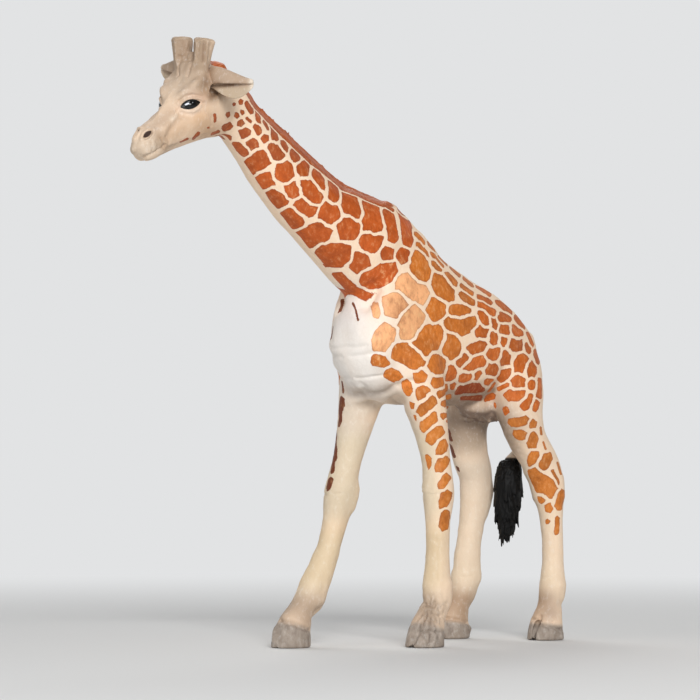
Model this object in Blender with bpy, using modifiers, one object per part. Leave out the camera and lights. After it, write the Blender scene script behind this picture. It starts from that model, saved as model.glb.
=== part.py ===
"""Toy giraffe figure: a walking giraffe assembled from glued PVC mouldings.

The figure faces -X and stands on Z = 0, in metres. The sculpted skin is lofted and fused as one master,
then cut at the seams into the mouldings, and each moulding gets a keyed spigot or its socket.
"""

import math

import bmesh
import bpy
from mathutils import Matrix, Vector

# Trunk
TRUNK_FRONT = -0.0015
TRUNK_LENGTH = 0.0615
TRUNK_HALF_WIDTH = 0.0104
WITHERS_HEIGHT = 0.0992
BELLY_HEIGHT = 0.0540
UDDER_LENGTH = 0.0100
UDDER_WIDTH = 0.0080
UDDER_DROP = 0.0024

# Neck and mane
NECK_LENGTH = 0.0553
NECK_RISE = math.radians(32.9)
NECK_HALF_DEPTH = 0.0120
NECK_HALF_WIDTH = 0.0088
MANE_HEIGHT = 0.0012
MANE_HALF_THICKNESS = 0.0011

# Head
HEAD_LENGTH = 0.0264
HEAD_DEPTH = 0.0130
HEAD_HALF_WIDTH = 0.0058
HEAD_SQUARENESS = 2.2
HEAD_NOD = math.radians(33.0)
HEAD_TILT = math.radians(10.0)
BROW_RADIUS = 0.0018
BROW_LENGTH = 0.0050
CROWN_RADIUS = 0.0024
CROWN_RISE = 0.0031
CROWN_HALF_WIDTH = 0.0049
EAR_LENGTH = 0.0098
EAR_HALF_WIDTH = 0.0030
EAR_CUP_DEPTH = 0.0013
EAR_WALL = 0.0010
EAR_EDGE_SHARE = 0.35
EAR_SWEEP = math.radians(22.0)
EAR_TURN = math.radians(22.0)
LEFT_EAR_LIFT = math.radians(0.0)
RIGHT_EAR_LIFT = math.radians(14.0)
OSSICONE_LENGTH = 0.0078
OSSICONE_RADIUS = 0.0022
OSSICONE_HALF_SPACING = 0.0024
OSSICONE_LEAN = math.radians(31.0)
OSSICONE_SPLAY = math.radians(6.0)

# Legs
FORE_LEG_HEIGHT = 0.0800
HIND_LEG_HEIGHT = 0.0720
FORE_LEG_GIRTH = 0.0072
HIND_LEG_GIRTH = 0.0072
HALF_STANCE = 0.0100
FORE_SEAM_HEIGHT = 0.0505
HIND_SEAM_HEIGHT = 0.0492
CLEFT_WIDTH = 0.0008
CLEFT_HEIGHT = 0.0048
CLEFT_DEPTH = 0.0030
HOOF_SLOPE = math.radians(20.0)

# Tail
TAIL_DROP = 0.0472
TAIL_RADIUS = 0.0013

# Joints between the mouldings
GLUE_GAP = 0.0003
NECK_SPIGOT_RADIUS = 0.0040
NECK_SPIGOT_LENGTH = 0.0070
HEAD_SPIGOT_RADIUS = 0.0024
HEAD_SPIGOT_LENGTH = 0.0050
LEG_SPIGOT_RADIUS = 0.0022
LEG_SPIGOT_LENGTH = 0.0060
TAIL_SPIGOT_RADIUS = 0.0009
TAIL_SPIGOT_LENGTH = 0.0035
EAR_SPIGOT_RADIUS = 0.0008
EAR_SPIGOT_LENGTH = 0.0020
OSSICONE_SPIGOT_RADIUS = 0.0011
OSSICONE_SPIGOT_LENGTH = 0.0025
KEY_FLAT_SHARE = 0.6

# Mesh of the master
SKIN_VOXEL = 0.0008
SKIN_FACES = 7200
SMOOTHING_PASSES = 6
RING_SIDES = 24
SMALL_RING_SIDES = 16
SPIGOT_SIDES = 12
FORM_RINGS = 40
LEG_RINGS = 56
TAIL_RINGS = 26
STUB_RINGS = 13
LINE_STEP_SHARE = 0.01
SLIVER = 0.00003
OVERRUN = 0.0020

# Trunk rings, front to back: share of the length, then bottom, widest level and top as shares of the depth,
# then share of the half width
TRUNK_RING_SHARES = (
    (0.000, 0.225, 0.31, 0.40, 0.33),
    (0.024, 0.150, 0.33, 0.51, 0.62),
    (0.072, 0.070, 0.34, 0.71, 0.82),
    (0.152, 0.015, 0.36, 0.91, 0.93),
    (0.232, 0.000, 0.38, 1.00, 0.97),
    (0.312, 0.000, 0.38, 0.92, 0.98),
    (0.408, 0.000, 0.37, 0.81, 1.00),
    (0.504, 0.000, 0.36, 0.735, 1.00),
    (0.632, 0.010, 0.36, 0.675, 0.99),
    (0.760, 0.050, 0.35, 0.61, 0.94),
    (0.856, 0.100, 0.34, 0.525, 0.86),
    (0.936, 0.170, 0.31, 0.425, 0.66),
    (1.000, 0.225, 0.28, 0.34, 0.36),
)
# Neck rings, shoulders to skull: share of the length, sag as a share of the length, then shares of the
# half depth and of the half width
NECK_RING_SHARES = (
    (-0.25, 0.000, 0.79, 0.80),
    (0.000, 0.000, 1.00, 1.00),
    (0.205, -0.029, 0.83, 0.86),
    (0.416, -0.036, 0.725, 0.75),
    (0.636, -0.028, 0.60, 0.65),
    (0.832, -0.010, 0.49, 0.57),
    (0.955, 0.000, 0.44, 0.53),
    (1.030, 0.000, 0.37, 0.48),
)
# Mane, withers to crown: share of the neck's length, share of the mane's height and thickness
MANE_TAPER_SHARES = ((0.02, 0.15), (0.14, 1.0), (0.55, 1.0), (0.95, 1.0), (1.03, 0.4))
# Head rings, nape to nose: share of the length, then bottom, widest level and top as shares of the depth,
# then share of the half width
HEAD_RING_SHARES = (
    (-0.115, -0.385, 0.10, 0.40, 0.80),
    (0.000, -0.585, 0.14, 0.53, 0.93),
    (0.140, -0.615, 0.24, 0.60, 1.02),
    (0.270, -0.510, 0.30, 0.62, 1.05),
    (0.385, -0.440, 0.27, 0.56, 1.00),
    (0.500, -0.390, 0.16, 0.49, 0.86),
    (0.680, -0.315, 0.06, 0.40, 0.66),
    (0.825, -0.265, 0.02, 0.31, 0.61),
    (0.940, -0.215, -0.02, 0.17, 0.50),
    (1.000, -0.120, -0.04, 0.04, 0.22),
)
# Leg girths, sole to shoulder: share of the leg's height, then reach to the front, rear and side as shares
# of the leg's girth
FORE_GIRTH_SHARES = (
    (-0.02, 0.72, 0.58, 0.61),
    (0.000, 0.72, 0.58, 0.61),
    (0.037, 0.64, 0.54, 0.57),
    (0.072, 0.54, 0.47, 0.49),
    (0.100, 0.42, 0.42, 0.42),
    (0.131, 0.44, 0.58, 0.45),
    (0.175, 0.42, 0.49, 0.43),
    (0.225, 0.36, 0.42, 0.39),
    (0.290, 0.36, 0.39, 0.38),
    (0.350, 0.40, 0.42, 0.40),
    (0.390, 0.47, 0.49, 0.46),
    (0.425, 0.51, 0.54, 0.50),
    (0.465, 0.49, 0.49, 0.49),
    (0.515, 0.46, 0.47, 0.46),
    (0.575, 0.53, 0.53, 0.50),
    (0.625, 0.61, 0.61, 0.57),
    (0.675, 0.72, 0.72, 0.63),
    (0.740, 0.90, 0.94, 0.67),
    (0.825, 1.11, 1.11, 0.69),
    (0.925, 0.90, 1.04, 0.58),
    (1.000, 0.49, 0.63, 0.35),
)
HIND_GIRTH_SHARES = (
    (-0.02, 0.69, 0.57, 0.60),
    (0.000, 0.69, 0.57, 0.60),
    (0.042, 0.62, 0.53, 0.56),
    (0.076, 0.53, 0.46, 0.47),
    (0.111, 0.40, 0.40, 0.40),
    (0.139, 0.42, 0.50, 0.43),
    (0.180, 0.43, 0.49, 0.43),
    (0.236, 0.37, 0.39, 0.37),
    (0.305, 0.35, 0.36, 0.36),
    (0.390, 0.37, 0.40, 0.39),
    (0.445, 0.46, 0.51, 0.44),
    (0.500, 0.51, 0.61, 0.49),
    (0.542, 0.56, 0.69, 0.51),
    (0.583, 0.61, 0.72, 0.53),
    (0.640, 0.68, 0.69, 0.57),
    (0.695, 0.78, 0.78, 0.62),
    (0.750, 0.90, 0.90, 0.67),
    (0.833, 1.11, 0.94, 0.72),
    (0.917, 1.18, 0.98, 0.67),
    (1.000, 0.83, 0.83, 0.42),
)
# Leg lines, sole to shoulder: share of the leg's height, then how far aft of the shoulder or hip, as a
# share of the leg's height
LEFT_FORE_LINE_SHARES = (
    (-0.02, 0.010), (0.000, 0.010), (0.037, 0.016), (0.072, 0.030), (0.100, 0.045), (0.131, 0.058),
    (0.225, 0.066), (0.350, 0.075), (0.425, 0.082), (0.515, 0.080), (0.625, 0.062), (0.740, 0.031),
    (0.825, 0.006), (1.000, 0.006),
)
RIGHT_FORE_LINE_SHARES = (
    (-0.02, -0.266), (0.000, -0.266), (0.037, -0.262), (0.072, -0.251), (0.100, -0.232), (0.131, -0.209),
    (0.225, -0.156), (0.350, -0.112), (0.425, -0.098), (0.515, -0.077), (0.625, -0.050), (0.740, -0.028),
    (0.825, -0.028), (1.000, -0.006),
)
LEFT_HIND_LINE_SHARES = (
    (-0.02, 0.080), (0.000, 0.080), (0.042, 0.083), (0.076, 0.094), (0.111, 0.104), (0.180, 0.119),
    (0.305, 0.129), (0.445, 0.125), (0.500, 0.119), (0.542, 0.108), (0.583, 0.083), (0.640, 0.042),
    (0.695, 0.018), (0.750, 0.007), (0.833, 0.014), (1.000, 0.014),
)
RIGHT_HIND_LINE_SHARES = (
    (-0.02, -0.070), (0.000, -0.070), (0.042, -0.070), (0.076, -0.062), (0.111, -0.047), (0.180, -0.017),
    (0.305, -0.010), (0.445, 0.014), (0.500, 0.014), (0.542, 0.007), (0.583, -0.017), (0.640, -0.033),
    (0.695, -0.044), (0.750, -0.038), (0.833, -0.028), (1.000, -0.014),
)
# How far the legs stand out from the midline, sole to shoulder: share of the height, share of the half stance
STANCE_SHARES = ((-0.02, 1.0), (0.10, 0.97), (0.42, 0.85), (0.70, 0.68), (0.83, 0.60), (1.0, 0.50))
# Tail line, root to tip: share of the drop, share aft, then girth as a share of the stalk or tuft radius
TAIL_LINE_SHARES = (
    (0.00, 0.000, 1.20), (0.05, 0.045, 1.25), (0.14, 0.078, 1.05), (0.32, 0.078, 0.90), (0.47, 0.045, 0.85),
    (0.57, -0.015, 0.95), (0.62, -0.060, 1.30), (0.66, -0.085, 1.90), (0.75, -0.100, 2.30),
    (0.85, -0.105, 2.00), (0.94, -0.115, 1.25), (1.00, -0.125, 0.45),
)
# Ear outline, root to tip: share of the length, then shares of the half width, the cup depth and the wall
EAR_OUTLINE_SHARES = (
    (-0.08, 0.55, 0.1, 2.6),
    (0.10, 0.60, 0.2, 2.4),
    (0.25, 0.80, 0.5, 2.0),
    (0.45, 1.00, 1.0, 1.0),
    (0.65, 0.93, 0.9, 0.9),
    (0.85, 0.60, 0.6, 0.8),
    (0.95, 0.34, 0.3, 0.7),
    (1.00, 0.12, 0.1, 0.5),
)
# Ossicone outline, base to knob: share of the length, share of the radius
OSSICONE_OUTLINE_SHARES = (
    (-0.20, 0.90),
    (0.00, 0.87),
    (0.30, 0.87),
    (0.60, 0.93),
    (0.85, 1.02),
    (0.96, 0.98),
    (1.00, 0.80),
)
# Where the neck, legs and tail meet the trunk, as shares of its length and of its depth
NECK_FOOT_SHARES = (0.128, 0.763)
FORE_SHOULDER_SHARE = 0.236
HIND_HIP_SHARE = 0.821
TAIL_ROOT_SHARES = (0.959, 0.403)
# Where the parts of the head stand, as shares of its length, half width and depth
BROW_PLACE_SHARES = (0.42, 0.76, 0.29)
CROWN_PLACE_SHARES = (0.19, 0.0, 0.575)
EAR_PLACE_SHARES = (0.215, 0.82, 0.31)
OSSICONE_PLACE_SHARES = (0.20, 0.0, 0.565)
NECK_SEAM_SHARE = 0.0
HEAD_SEAM_SHARE = 0.90
UDDER_PLACE_SHARE = 0.70
TAIL_SPIGOT_SHARE = 0.06

# Places worked out from the sizes
TRUNK_DEPTH = WITHERS_HEIGHT - BELLY_HEIGHT
MIDLINE = 0.0
FORE_SHOULDER_AFT = TRUNK_FRONT + FORE_SHOULDER_SHARE * TRUNK_LENGTH
HIND_HIP_AFT = TRUNK_FRONT + HIND_HIP_SHARE * TRUNK_LENGTH
TAIL_ROOT_AFT = TRUNK_FRONT + TAIL_ROOT_SHARES[0] * TRUNK_LENGTH
TAIL_ROOT_HEIGHT = BELLY_HEIGHT + TAIL_ROOT_SHARES[1] * TRUNK_DEPTH
NECK_FOOT_AFT = TRUNK_FRONT + NECK_FOOT_SHARES[0] * TRUNK_LENGTH
NECK_FOOT = Vector((NECK_FOOT_AFT, MIDLINE, BELLY_HEIGHT + NECK_FOOT_SHARES[1] * TRUNK_DEPTH))
NECK_ALONG = Vector((-math.cos(NECK_RISE), 0.0, math.sin(NECK_RISE)))
NECK_NORMAL = Vector((math.sin(NECK_RISE), 0.0, math.cos(NECK_RISE)))
SIDEWAYS = Vector((0.0, 1.0, 0.0))
UPWARDS = Vector((0.0, 0.0, 1.0))
FORWARDS = Vector((-1.0, 0.0, 0.0))
HEAD_PLACE = (
    Matrix.Translation(NECK_FOOT + NECK_ALONG * NECK_LENGTH)
    @ Matrix.Rotation(-HEAD_NOD, 4, "Y")
    @ Matrix.Rotation(HEAD_TILT, 4, "X")
)
HEAD_TURN = HEAD_PLACE.to_3x3().to_4x4()


def clear_scene():
    for thing in list(bpy.data.objects):
        bpy.data.objects.remove(thing)


def new_collection(name):
    collection = bpy.data.collections.new(name)
    bpy.context.scene.collection.children.link(collection)
    return collection


def value_at(rows, share):
    """Columns of a table of shares at one share, on a smooth curve through the rows."""
    last = len(rows) - 1
    low = 0
    while low < last - 1 and rows[low + 1][0] < share:
        low += 1
    start, end = rows[low], rows[low + 1]
    before, after = rows[max(low - 1, 0)], rows[min(low + 2, last)]
    run = end[0] - start[0]
    t = (share - start[0]) / run
    columns = []
    for c in range(1, len(start)):
        slope_start = (end[c] - before[c]) / (end[0] - before[0])
        slope_end = (after[c] - start[c]) / (after[0] - start[0])
        columns.append(
            start[c] * (2 * t**3 - 3 * t**2 + 1)
            + slope_start * run * (t**3 - 2 * t**2 + t)
            + end[c] * (3 * t**2 - 2 * t**3)
            + slope_end * run * (t**3 - t**2)
        )
    return columns


def spread(rows, count):
    """Shares spread evenly from a table's first row to its last."""
    first, last = rows[0][0], rows[-1][0]
    return [first + (last - first) * i / (count - 1) for i in range(count)]


def ring(centre, up, side, up_reach, down_reach, side_reach, power=2.0, sides=RING_SIDES):
    """Closed ring of points: an ellipse with unlike upper and lower halves, squarer as the power grows."""
    points = []
    for i in range(sides):
        angle = 2 * math.pi * (i + 0.5) / sides
        c, s = math.cos(angle), math.sin(angle)
        across = math.copysign(abs(c) ** (2 / power), c) * side_reach
        along = math.copysign(abs(s) ** (2 / power), s) * (up_reach if s > 0 else down_reach)
        points.append(centre + side * across + up * along)
    return points


def mesh_object(name, bm, collection):
    bmesh.ops.recalc_face_normals(bm, faces=bm.faces)
    mesh = bpy.data.meshes.new(name)
    bm.to_mesh(mesh)
    bm.free()
    thing = bpy.data.objects.new(name, mesh)
    collection.objects.link(thing)
    return thing


def loft(name, rings, collection):
    """Closed skin through rings of equal point counts, each end closed by a fan to its middle."""
    bm = bmesh.new()
    loops = [[bm.verts.new(p) for p in points] for points in rings]
    sides = len(rings[0])
    for near, far in zip(loops, loops[1:]):
        for i in range(sides):
            j = (i + 1) % sides
            bm.faces.new((near[i], near[j], far[j], far[i]))
    for loop in (loops[0], loops[-1]):
        middle = bm.verts.new(sum((v.co for v in loop), Vector()) / sides)
        for i in range(sides):
            bm.faces.new((loop[i], loop[(i + 1) % sides], middle))
    return mesh_object(name, bm, collection)


def ball(name, place, reaches, collection):
    """Ellipsoid with its three reaches along the axes of its place."""
    bm = bmesh.new()
    bmesh.ops.create_uvsphere(bm, u_segments=RING_SIDES, v_segments=RING_SIDES // 2, radius=1.0)
    bmesh.ops.transform(bm, matrix=place @ Matrix.Diagonal((*reaches, 1.0)), verts=bm.verts)
    return mesh_object(name, bm, collection)


def block(name, low, high, collection, turn=Matrix.Identity(4)):
    """Box between two corners, then turned and moved by a matrix."""
    bm = bmesh.new()
    bmesh.ops.create_cube(bm, size=1.0)
    size = high - low
    shape = Matrix.Translation((low + high) / 2) @ Matrix.Diagonal((*size, 1.0))
    bmesh.ops.transform(bm, matrix=turn @ shape, verts=bm.verts)
    return mesh_object(name, bm, collection)


def evaluated_copy(thing, name, collection):
    """New object with the mesh that another object's modifiers give."""
    graph = bpy.context.evaluated_depsgraph_get()
    mesh = bpy.data.meshes.new_from_object(thing.evaluated_get(graph))
    copy = bpy.data.objects.new(name, mesh)
    copy.matrix_world = thing.matrix_world
    collection.objects.link(copy)
    return copy


def boolean(thing, other, operation):
    modifier = thing.modifiers.new(operation.lower(), "BOOLEAN")
    modifier.operation = operation
    modifier.solver = "EXACT"
    modifier.object = other
    return modifier


def as_cutter(thing):
    thing.hide_render = True
    thing.display_type = "WIRE"
    return thing


def facing(direction, about):
    """Turn whose Z points along a direction, with X as near to another direction as it can be."""
    z = direction.normalized()
    y = z.cross(about).normalized()
    x = y.cross(z)
    return Matrix((x, y, z)).transposed().to_4x4()


# Lofted forms of the master


def trunk_form(collection):
    rings = []
    for share in spread(TRUNK_RING_SHARES, FORM_RINGS):
        bottom, widest, top, width = value_at(TRUNK_RING_SHARES, share)
        level = BELLY_HEIGHT + widest * TRUNK_DEPTH
        centre = Vector((TRUNK_FRONT + share * TRUNK_LENGTH, MIDLINE, level))
        up_reach, down_reach = (top - widest) * TRUNK_DEPTH, (widest - bottom) * TRUNK_DEPTH
        rings.append(ring(centre, UPWARDS, SIDEWAYS, up_reach, down_reach, width * TRUNK_HALF_WIDTH))
    return loft("trunk_form", rings, collection)


def neck_point(share):
    sag = value_at(NECK_RING_SHARES, share)[0]
    return NECK_FOOT + NECK_ALONG * (share * NECK_LENGTH) + NECK_NORMAL * (sag * NECK_LENGTH)


def neck_form(collection):
    rings = []
    for share in spread(NECK_RING_SHARES, FORM_RINGS):
        sag, depth, width = value_at(NECK_RING_SHARES, share)
        reach = depth * NECK_HALF_DEPTH
        rings.append(ring(neck_point(share), NECK_NORMAL, SIDEWAYS, reach, reach, width * NECK_HALF_WIDTH))
    return loft("neck_form", rings, collection)


def mane_form(collection):
    """Low crest along the back of the neck."""
    rings = []
    for share in spread(MANE_TAPER_SHARES, FORM_RINGS):
        taper = value_at(MANE_TAPER_SHARES, share)[0]
        depth = value_at(NECK_RING_SHARES, share)[1] * NECK_HALF_DEPTH
        centre = neck_point(share) + NECK_NORMAL * depth
        rise = MANE_HEIGHT * taper
        rings.append(ring(centre, NECK_NORMAL, SIDEWAYS, rise, MANE_HEIGHT, MANE_HALF_THICKNESS * taper))
    return loft("mane_form", rings, collection)


def head_point(shares, side):
    """Point of the head from its shares, on the left (-1), on the midline (0) or on the right (1)."""
    forward, out, up = shares
    return HEAD_PLACE @ Vector((-forward * HEAD_LENGTH, side * out * HEAD_HALF_WIDTH, up * HEAD_DEPTH))


def head_form(collection):
    turn = HEAD_PLACE.to_3x3()
    rings = []
    for share in spread(HEAD_RING_SHARES, FORM_RINGS):
        bottom, widest, top, width = value_at(HEAD_RING_SHARES, share)
        up_reach, down_reach = (top - widest) * HEAD_DEPTH, (widest - bottom) * HEAD_DEPTH
        centre = head_point((share, 0.0, widest), 0)
        side_reach = width * HEAD_HALF_WIDTH
        rings.append(
            ring(centre, turn @ UPWARDS, turn @ SIDEWAYS, up_reach, down_reach, side_reach, HEAD_SQUARENESS)
        )
    return loft("head_form", rings, collection)


def brow_forms(collection):
    forms = []
    for side in (-1, 1):
        place = Matrix.Translation(head_point(BROW_PLACE_SHARES, side)) @ HEAD_TURN
        reaches = (BROW_LENGTH / 2, BROW_RADIUS, BROW_RADIUS)
        forms.append(ball("brow_form", place, reaches, collection))
    return forms


def crown_form(collection):
    """Boss between the ears that carries both ossicones."""
    place = Matrix.Translation(head_point(CROWN_PLACE_SHARES, 0)) @ HEAD_TURN
    return ball("crown_form", place, (CROWN_RADIUS, CROWN_HALF_WIDTH, CROWN_RISE), collection)


def leg_point(line, height, shoulder_aft, side, share):
    aft = value_at(line, share)[0]
    out = value_at(STANCE_SHARES, share)[0]
    return Vector((shoulder_aft + aft * height, side * out * HALF_STANCE, share * height))


def leg_form(name, line, girths, height, girth, shoulder_aft, side, collection):
    rings = []
    for share in spread(girths, LEG_RINGS):
        front, rear, flank = value_at(girths, share)
        centre = leg_point(line, height, shoulder_aft, side, share)
        low = leg_point(line, height, shoulder_aft, side, max(share - LINE_STEP_SHARE, girths[0][0]))
        high = leg_point(line, height, shoulder_aft, side, min(share + LINE_STEP_SHARE, girths[-1][0]))
        along = (high - low).normalized()
        fore = (FORWARDS - along * FORWARDS.dot(along)).normalized()
        rings.append(ring(centre, fore, along.cross(fore), front * girth, rear * girth, flank * girth))
    return loft(name, rings, collection)


def udder_form(collection):
    centre = Vector((TRUNK_FRONT + UDDER_PLACE_SHARE * TRUNK_LENGTH, MIDLINE, BELLY_HEIGHT))
    reaches = (UDDER_LENGTH / 2, UDDER_WIDTH / 2, UDDER_DROP)
    return ball("udder_form", Matrix.Translation(centre), reaches, collection)


def fused_skin(forms, collection):
    """One closed skin over all the forms, its creases eased and its faces thinned."""
    bm = bmesh.new()
    for form in forms:
        bm.from_mesh(form.data)
        bpy.data.objects.remove(form)
    skin = mesh_object("master_skin", bm, collection)
    remesh = skin.modifiers.new("fuse", "REMESH")
    remesh.mode = "VOXEL"
    remesh.voxel_size = SKIN_VOXEL
    ease = skin.modifiers.new("ease", "SMOOTH")
    ease.factor = 0.5
    ease.iterations = SMOOTHING_PASSES
    fused = evaluated_copy(skin, "fused_skin", collection)
    fused.data.calc_loop_triangles()
    thin = fused.modifiers.new("thin", "DECIMATE")
    thin.ratio = min(1.0, SKIN_FACES / len(fused.data.loop_triangles))
    thinned = evaluated_copy(fused, "thinned_skin", collection)
    for used in (skin, fused):
        bpy.data.objects.remove(used)
    return as_cutter(thinned)


# Mouldings added to the master


def ear(name, side, lift, collection):
    """Cupped leaf, swept back, with its hollow to the front."""
    turn = (
        HEAD_TURN
        @ Matrix.Rotation(-side * EAR_SWEEP, 4, "Z")
        @ Matrix.Rotation(side * lift, 4, "X")
        @ Matrix.Rotation(-EAR_TURN, 4, "Y")
    )
    along, across, out = side * (turn @ SIDEWAYS), turn @ UPWARDS, turn @ FORWARDS
    root = head_point(EAR_PLACE_SHARES, side)
    half = SMALL_RING_SIDES // 2
    rings = []
    for share in spread(EAR_OUTLINE_SHARES, STUB_RINGS):
        width, cup, wall = value_at(EAR_OUTLINE_SHARES, share)
        centre = root + along * (share * EAR_LENGTH)
        points = []
        for i in range(SMALL_RING_SIDES):
            angle = math.pi * (i % half + 0.5) / half
            bow = math.sin(angle)
            back = -cup * EAR_CUP_DEPTH * bow
            thick = wall * EAR_WALL * (EAR_EDGE_SHARE + (1 - EAR_EDGE_SHARE) * bow) / 2
            if i < half:
                points.append(centre + across * (math.cos(angle) * width * EAR_HALF_WIDTH) + out * (back - thick))
            else:
                points.append(centre - across * (math.cos(angle) * width * EAR_HALF_WIDTH) + out * (back + thick))
        rings.append(points)
    return loft(name, rings, collection)


def ossicone_line(side):
    lean = HEAD_TURN @ Matrix.Rotation(OSSICONE_LEAN, 4, "Y") @ Matrix.Rotation(-side * OSSICONE_SPLAY, 4, "X")
    root = head_point(OSSICONE_PLACE_SHARES, 0) + side * OSSICONE_HALF_SPACING * (HEAD_TURN @ SIDEWAYS)
    return root, lean


def ossicone(name, side, collection):
    """Blunt horn stub that widens to its flat end."""
    root, lean = ossicone_line(side)
    rings = []
    for share in spread(OSSICONE_OUTLINE_SHARES, STUB_RINGS):
        reach = value_at(OSSICONE_OUTLINE_SHARES, share)[0] * OSSICONE_RADIUS
        centre = root + lean @ UPWARDS * (share * OSSICONE_LENGTH)
        fore, aside = lean @ FORWARDS, lean @ SIDEWAYS
        rings.append(ring(centre, fore, aside, reach, reach, reach, sides=SMALL_RING_SIDES))
    return loft(name, rings, collection)


def tail_point(share):
    aft = value_at(TAIL_LINE_SHARES, share)[0]
    return Vector((TAIL_ROOT_AFT + aft * TAIL_DROP, MIDLINE, TAIL_ROOT_HEIGHT - share * TAIL_DROP))


def tail_form(name, collection):
    """Stalk that hangs from the rump and swells into the hair tuft."""
    rings = []
    for share in spread(TAIL_LINE_SHARES, TAIL_RINGS):
        reach = value_at(TAIL_LINE_SHARES, share)[1] * TAIL_RADIUS
        low, high = min(share + LINE_STEP_SHARE, 1.0), max(share - LINE_STEP_SHARE, 0.0)
        along = (tail_point(low) - tail_point(high)).normalized()
        back = along.cross(SIDEWAYS)
        rings.append(ring(tail_point(share), back, SIDEWAYS, reach, reach, reach, sides=SMALL_RING_SIDES))
    return loft(name, rings, collection)


# Joints


def pin(name, place, radius, flat, low, high, collection):
    """Round pin along the Z of its place, with a flat along one side as a key."""
    rings = []
    for level in (low, high):
        points = []
        for i in range(SPIGOT_SIDES):
            angle = 2 * math.pi * (i + 0.5) / SPIGOT_SIDES
            across = min(radius * math.cos(angle), flat)
            points.append(place @ Vector((across, radius * math.sin(angle), level)))
        rings.append(points)
    return as_cutter(loft(name, rings, collection))


def plug(child, owner, root, direction, radius, length, root_depth):
    """Spigot on one moulding and the socket for it in its neighbour."""
    place = Matrix.Translation(root) @ facing(direction, FORWARDS + SIDEWAYS)
    flat = KEY_FLAT_SHARE * radius
    spigot = pin(child.name + "_spigot", place, radius, flat, -root_depth, length, cutters)
    low, high = -root_depth - GLUE_GAP, length + GLUE_GAP
    socket = pin(child.name + "_socket", place, radius + GLUE_GAP, flat + GLUE_GAP, low, high, cutters)
    boolean(child, spigot, "UNION")
    boolean(owner, socket, "DIFFERENCE")


def half_space(name, point, direction, collection):
    """Large block that fills the side of a plane a direction points to."""
    turn = Matrix.Translation(point) @ facing(direction, SIDEWAYS)
    reach = WITHERS_HEIGHT
    return as_cutter(block(name, Vector((-reach, -reach, 0.0)), Vector((reach, reach, reach)), collection, turn))


def moulding(name, skin, keep, collection):
    """Piece of the master inside the blocks that are kept, without slivers along its seams."""
    cut = evaluated_copy(skin, name + "_cut", cutters)
    for cutter in keep:
        boolean(cut, cutter, "INTERSECT")
    piece = evaluated_copy(cut, name, collection)
    bpy.data.objects.remove(cut)
    bm = bmesh.new()
    bm.from_mesh(piece.data)
    bmesh.ops.remove_doubles(bm, verts=bm.verts, dist=SLIVER)
    bmesh.ops.dissolve_degenerate(bm, edges=bm.edges, dist=SLIVER)
    bmesh.ops.triangulate(bm, faces=bm.faces)
    bm.to_mesh(piece.data)
    bm.free()
    return piece


def paint(thing, colour, roughness, coat=0.0):
    material = bpy.data.materials.new(thing.name + "_finish")
    material.use_nodes = True
    shader = material.node_tree.nodes["Principled BSDF"]
    shader.inputs["Base Color"].default_value = (*colour, 1.0)
    shader.inputs["Roughness"].default_value = roughness
    shader.inputs["Metallic"].default_value = 0.0
    shader.inputs["Coat Weight"].default_value = coat
    thing.data.materials.clear()
    thing.data.materials.append(material)


clear_scene()
parts = new_collection("toy_giraffe")
cutters = new_collection("cutters")
cutters.hide_render = True

# Master skin
fore_shape = (FORE_GIRTH_SHARES, FORE_LEG_HEIGHT, FORE_LEG_GIRTH, FORE_SHOULDER_AFT, FORE_SEAM_HEIGHT)
hind_shape = (HIND_GIRTH_SHARES, HIND_LEG_HEIGHT, HIND_LEG_GIRTH, HIND_HIP_AFT, HIND_SEAM_HEIGHT)
legs = (
    ("leg_front_left", LEFT_FORE_LINE_SHARES, -1, fore_shape),
    ("leg_front_right", RIGHT_FORE_LINE_SHARES, 1, fore_shape),
    ("leg_hind_left", LEFT_HIND_LINE_SHARES, -1, hind_shape),
    ("leg_hind_right", RIGHT_HIND_LINE_SHARES, 1, hind_shape),
)
forms = [
    trunk_form(cutters),
    neck_form(cutters),
    mane_form(cutters),
    head_form(cutters),
    *brow_forms(cutters),
    crown_form(cutters),
    udder_form(cutters),
]
for name, line, side, (girths, height, girth, shoulder_aft, seam) in legs:
    forms.append(leg_form(name + "_form", line, girths, height, girth, shoulder_aft, side, cutters))
skin = fused_skin(forms, cutters)
swollen = evaluated_copy(skin, "swollen_skin", cutters)
swell = swollen.modifiers.new("swell", "DISPLACE")
swell.strength = GLUE_GAP
swell.mid_level = 0.0
as_cutter(swollen)

# Seams of the trunk, neck and head
neck_seam = NECK_FOOT + NECK_ALONG * (NECK_SEAM_SHARE * NECK_LENGTH)
head_seam = neck_point(HEAD_SEAM_SHARE)
half_gap = NECK_ALONG * (GLUE_GAP / 2)
before_neck_seam = half_space("before_neck_seam", neck_seam + half_gap, NECK_ALONG, cutters)
behind_neck_seam = half_space("behind_neck_seam", neck_seam - half_gap, -NECK_ALONG, cutters)
before_head_seam = half_space("before_head_seam", head_seam + half_gap, NECK_ALONG, cutters)
behind_head_seam = half_space("behind_head_seam", head_seam - half_gap, -NECK_ALONG, cutters)
torso = moulding("torso", skin, (behind_neck_seam,), parts)
neck = moulding("neck", skin, (before_neck_seam, behind_head_seam), parts)
head = moulding("head", skin, (before_head_seam,), parts)
plug(neck, torso, neck_seam, -NECK_ALONG, NECK_SPIGOT_RADIUS, NECK_SPIGOT_LENGTH, OVERRUN)
plug(head, neck, head_seam, -NECK_ALONG, HEAD_SPIGOT_RADIUS, HEAD_SPIGOT_LENGTH, OVERRUN)
paint(torso, (0.62, 0.33, 0.17), 0.45)
paint(neck, (0.60, 0.29, 0.13), 0.45)
paint(head, (0.60, 0.47, 0.34), 0.5)

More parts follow.
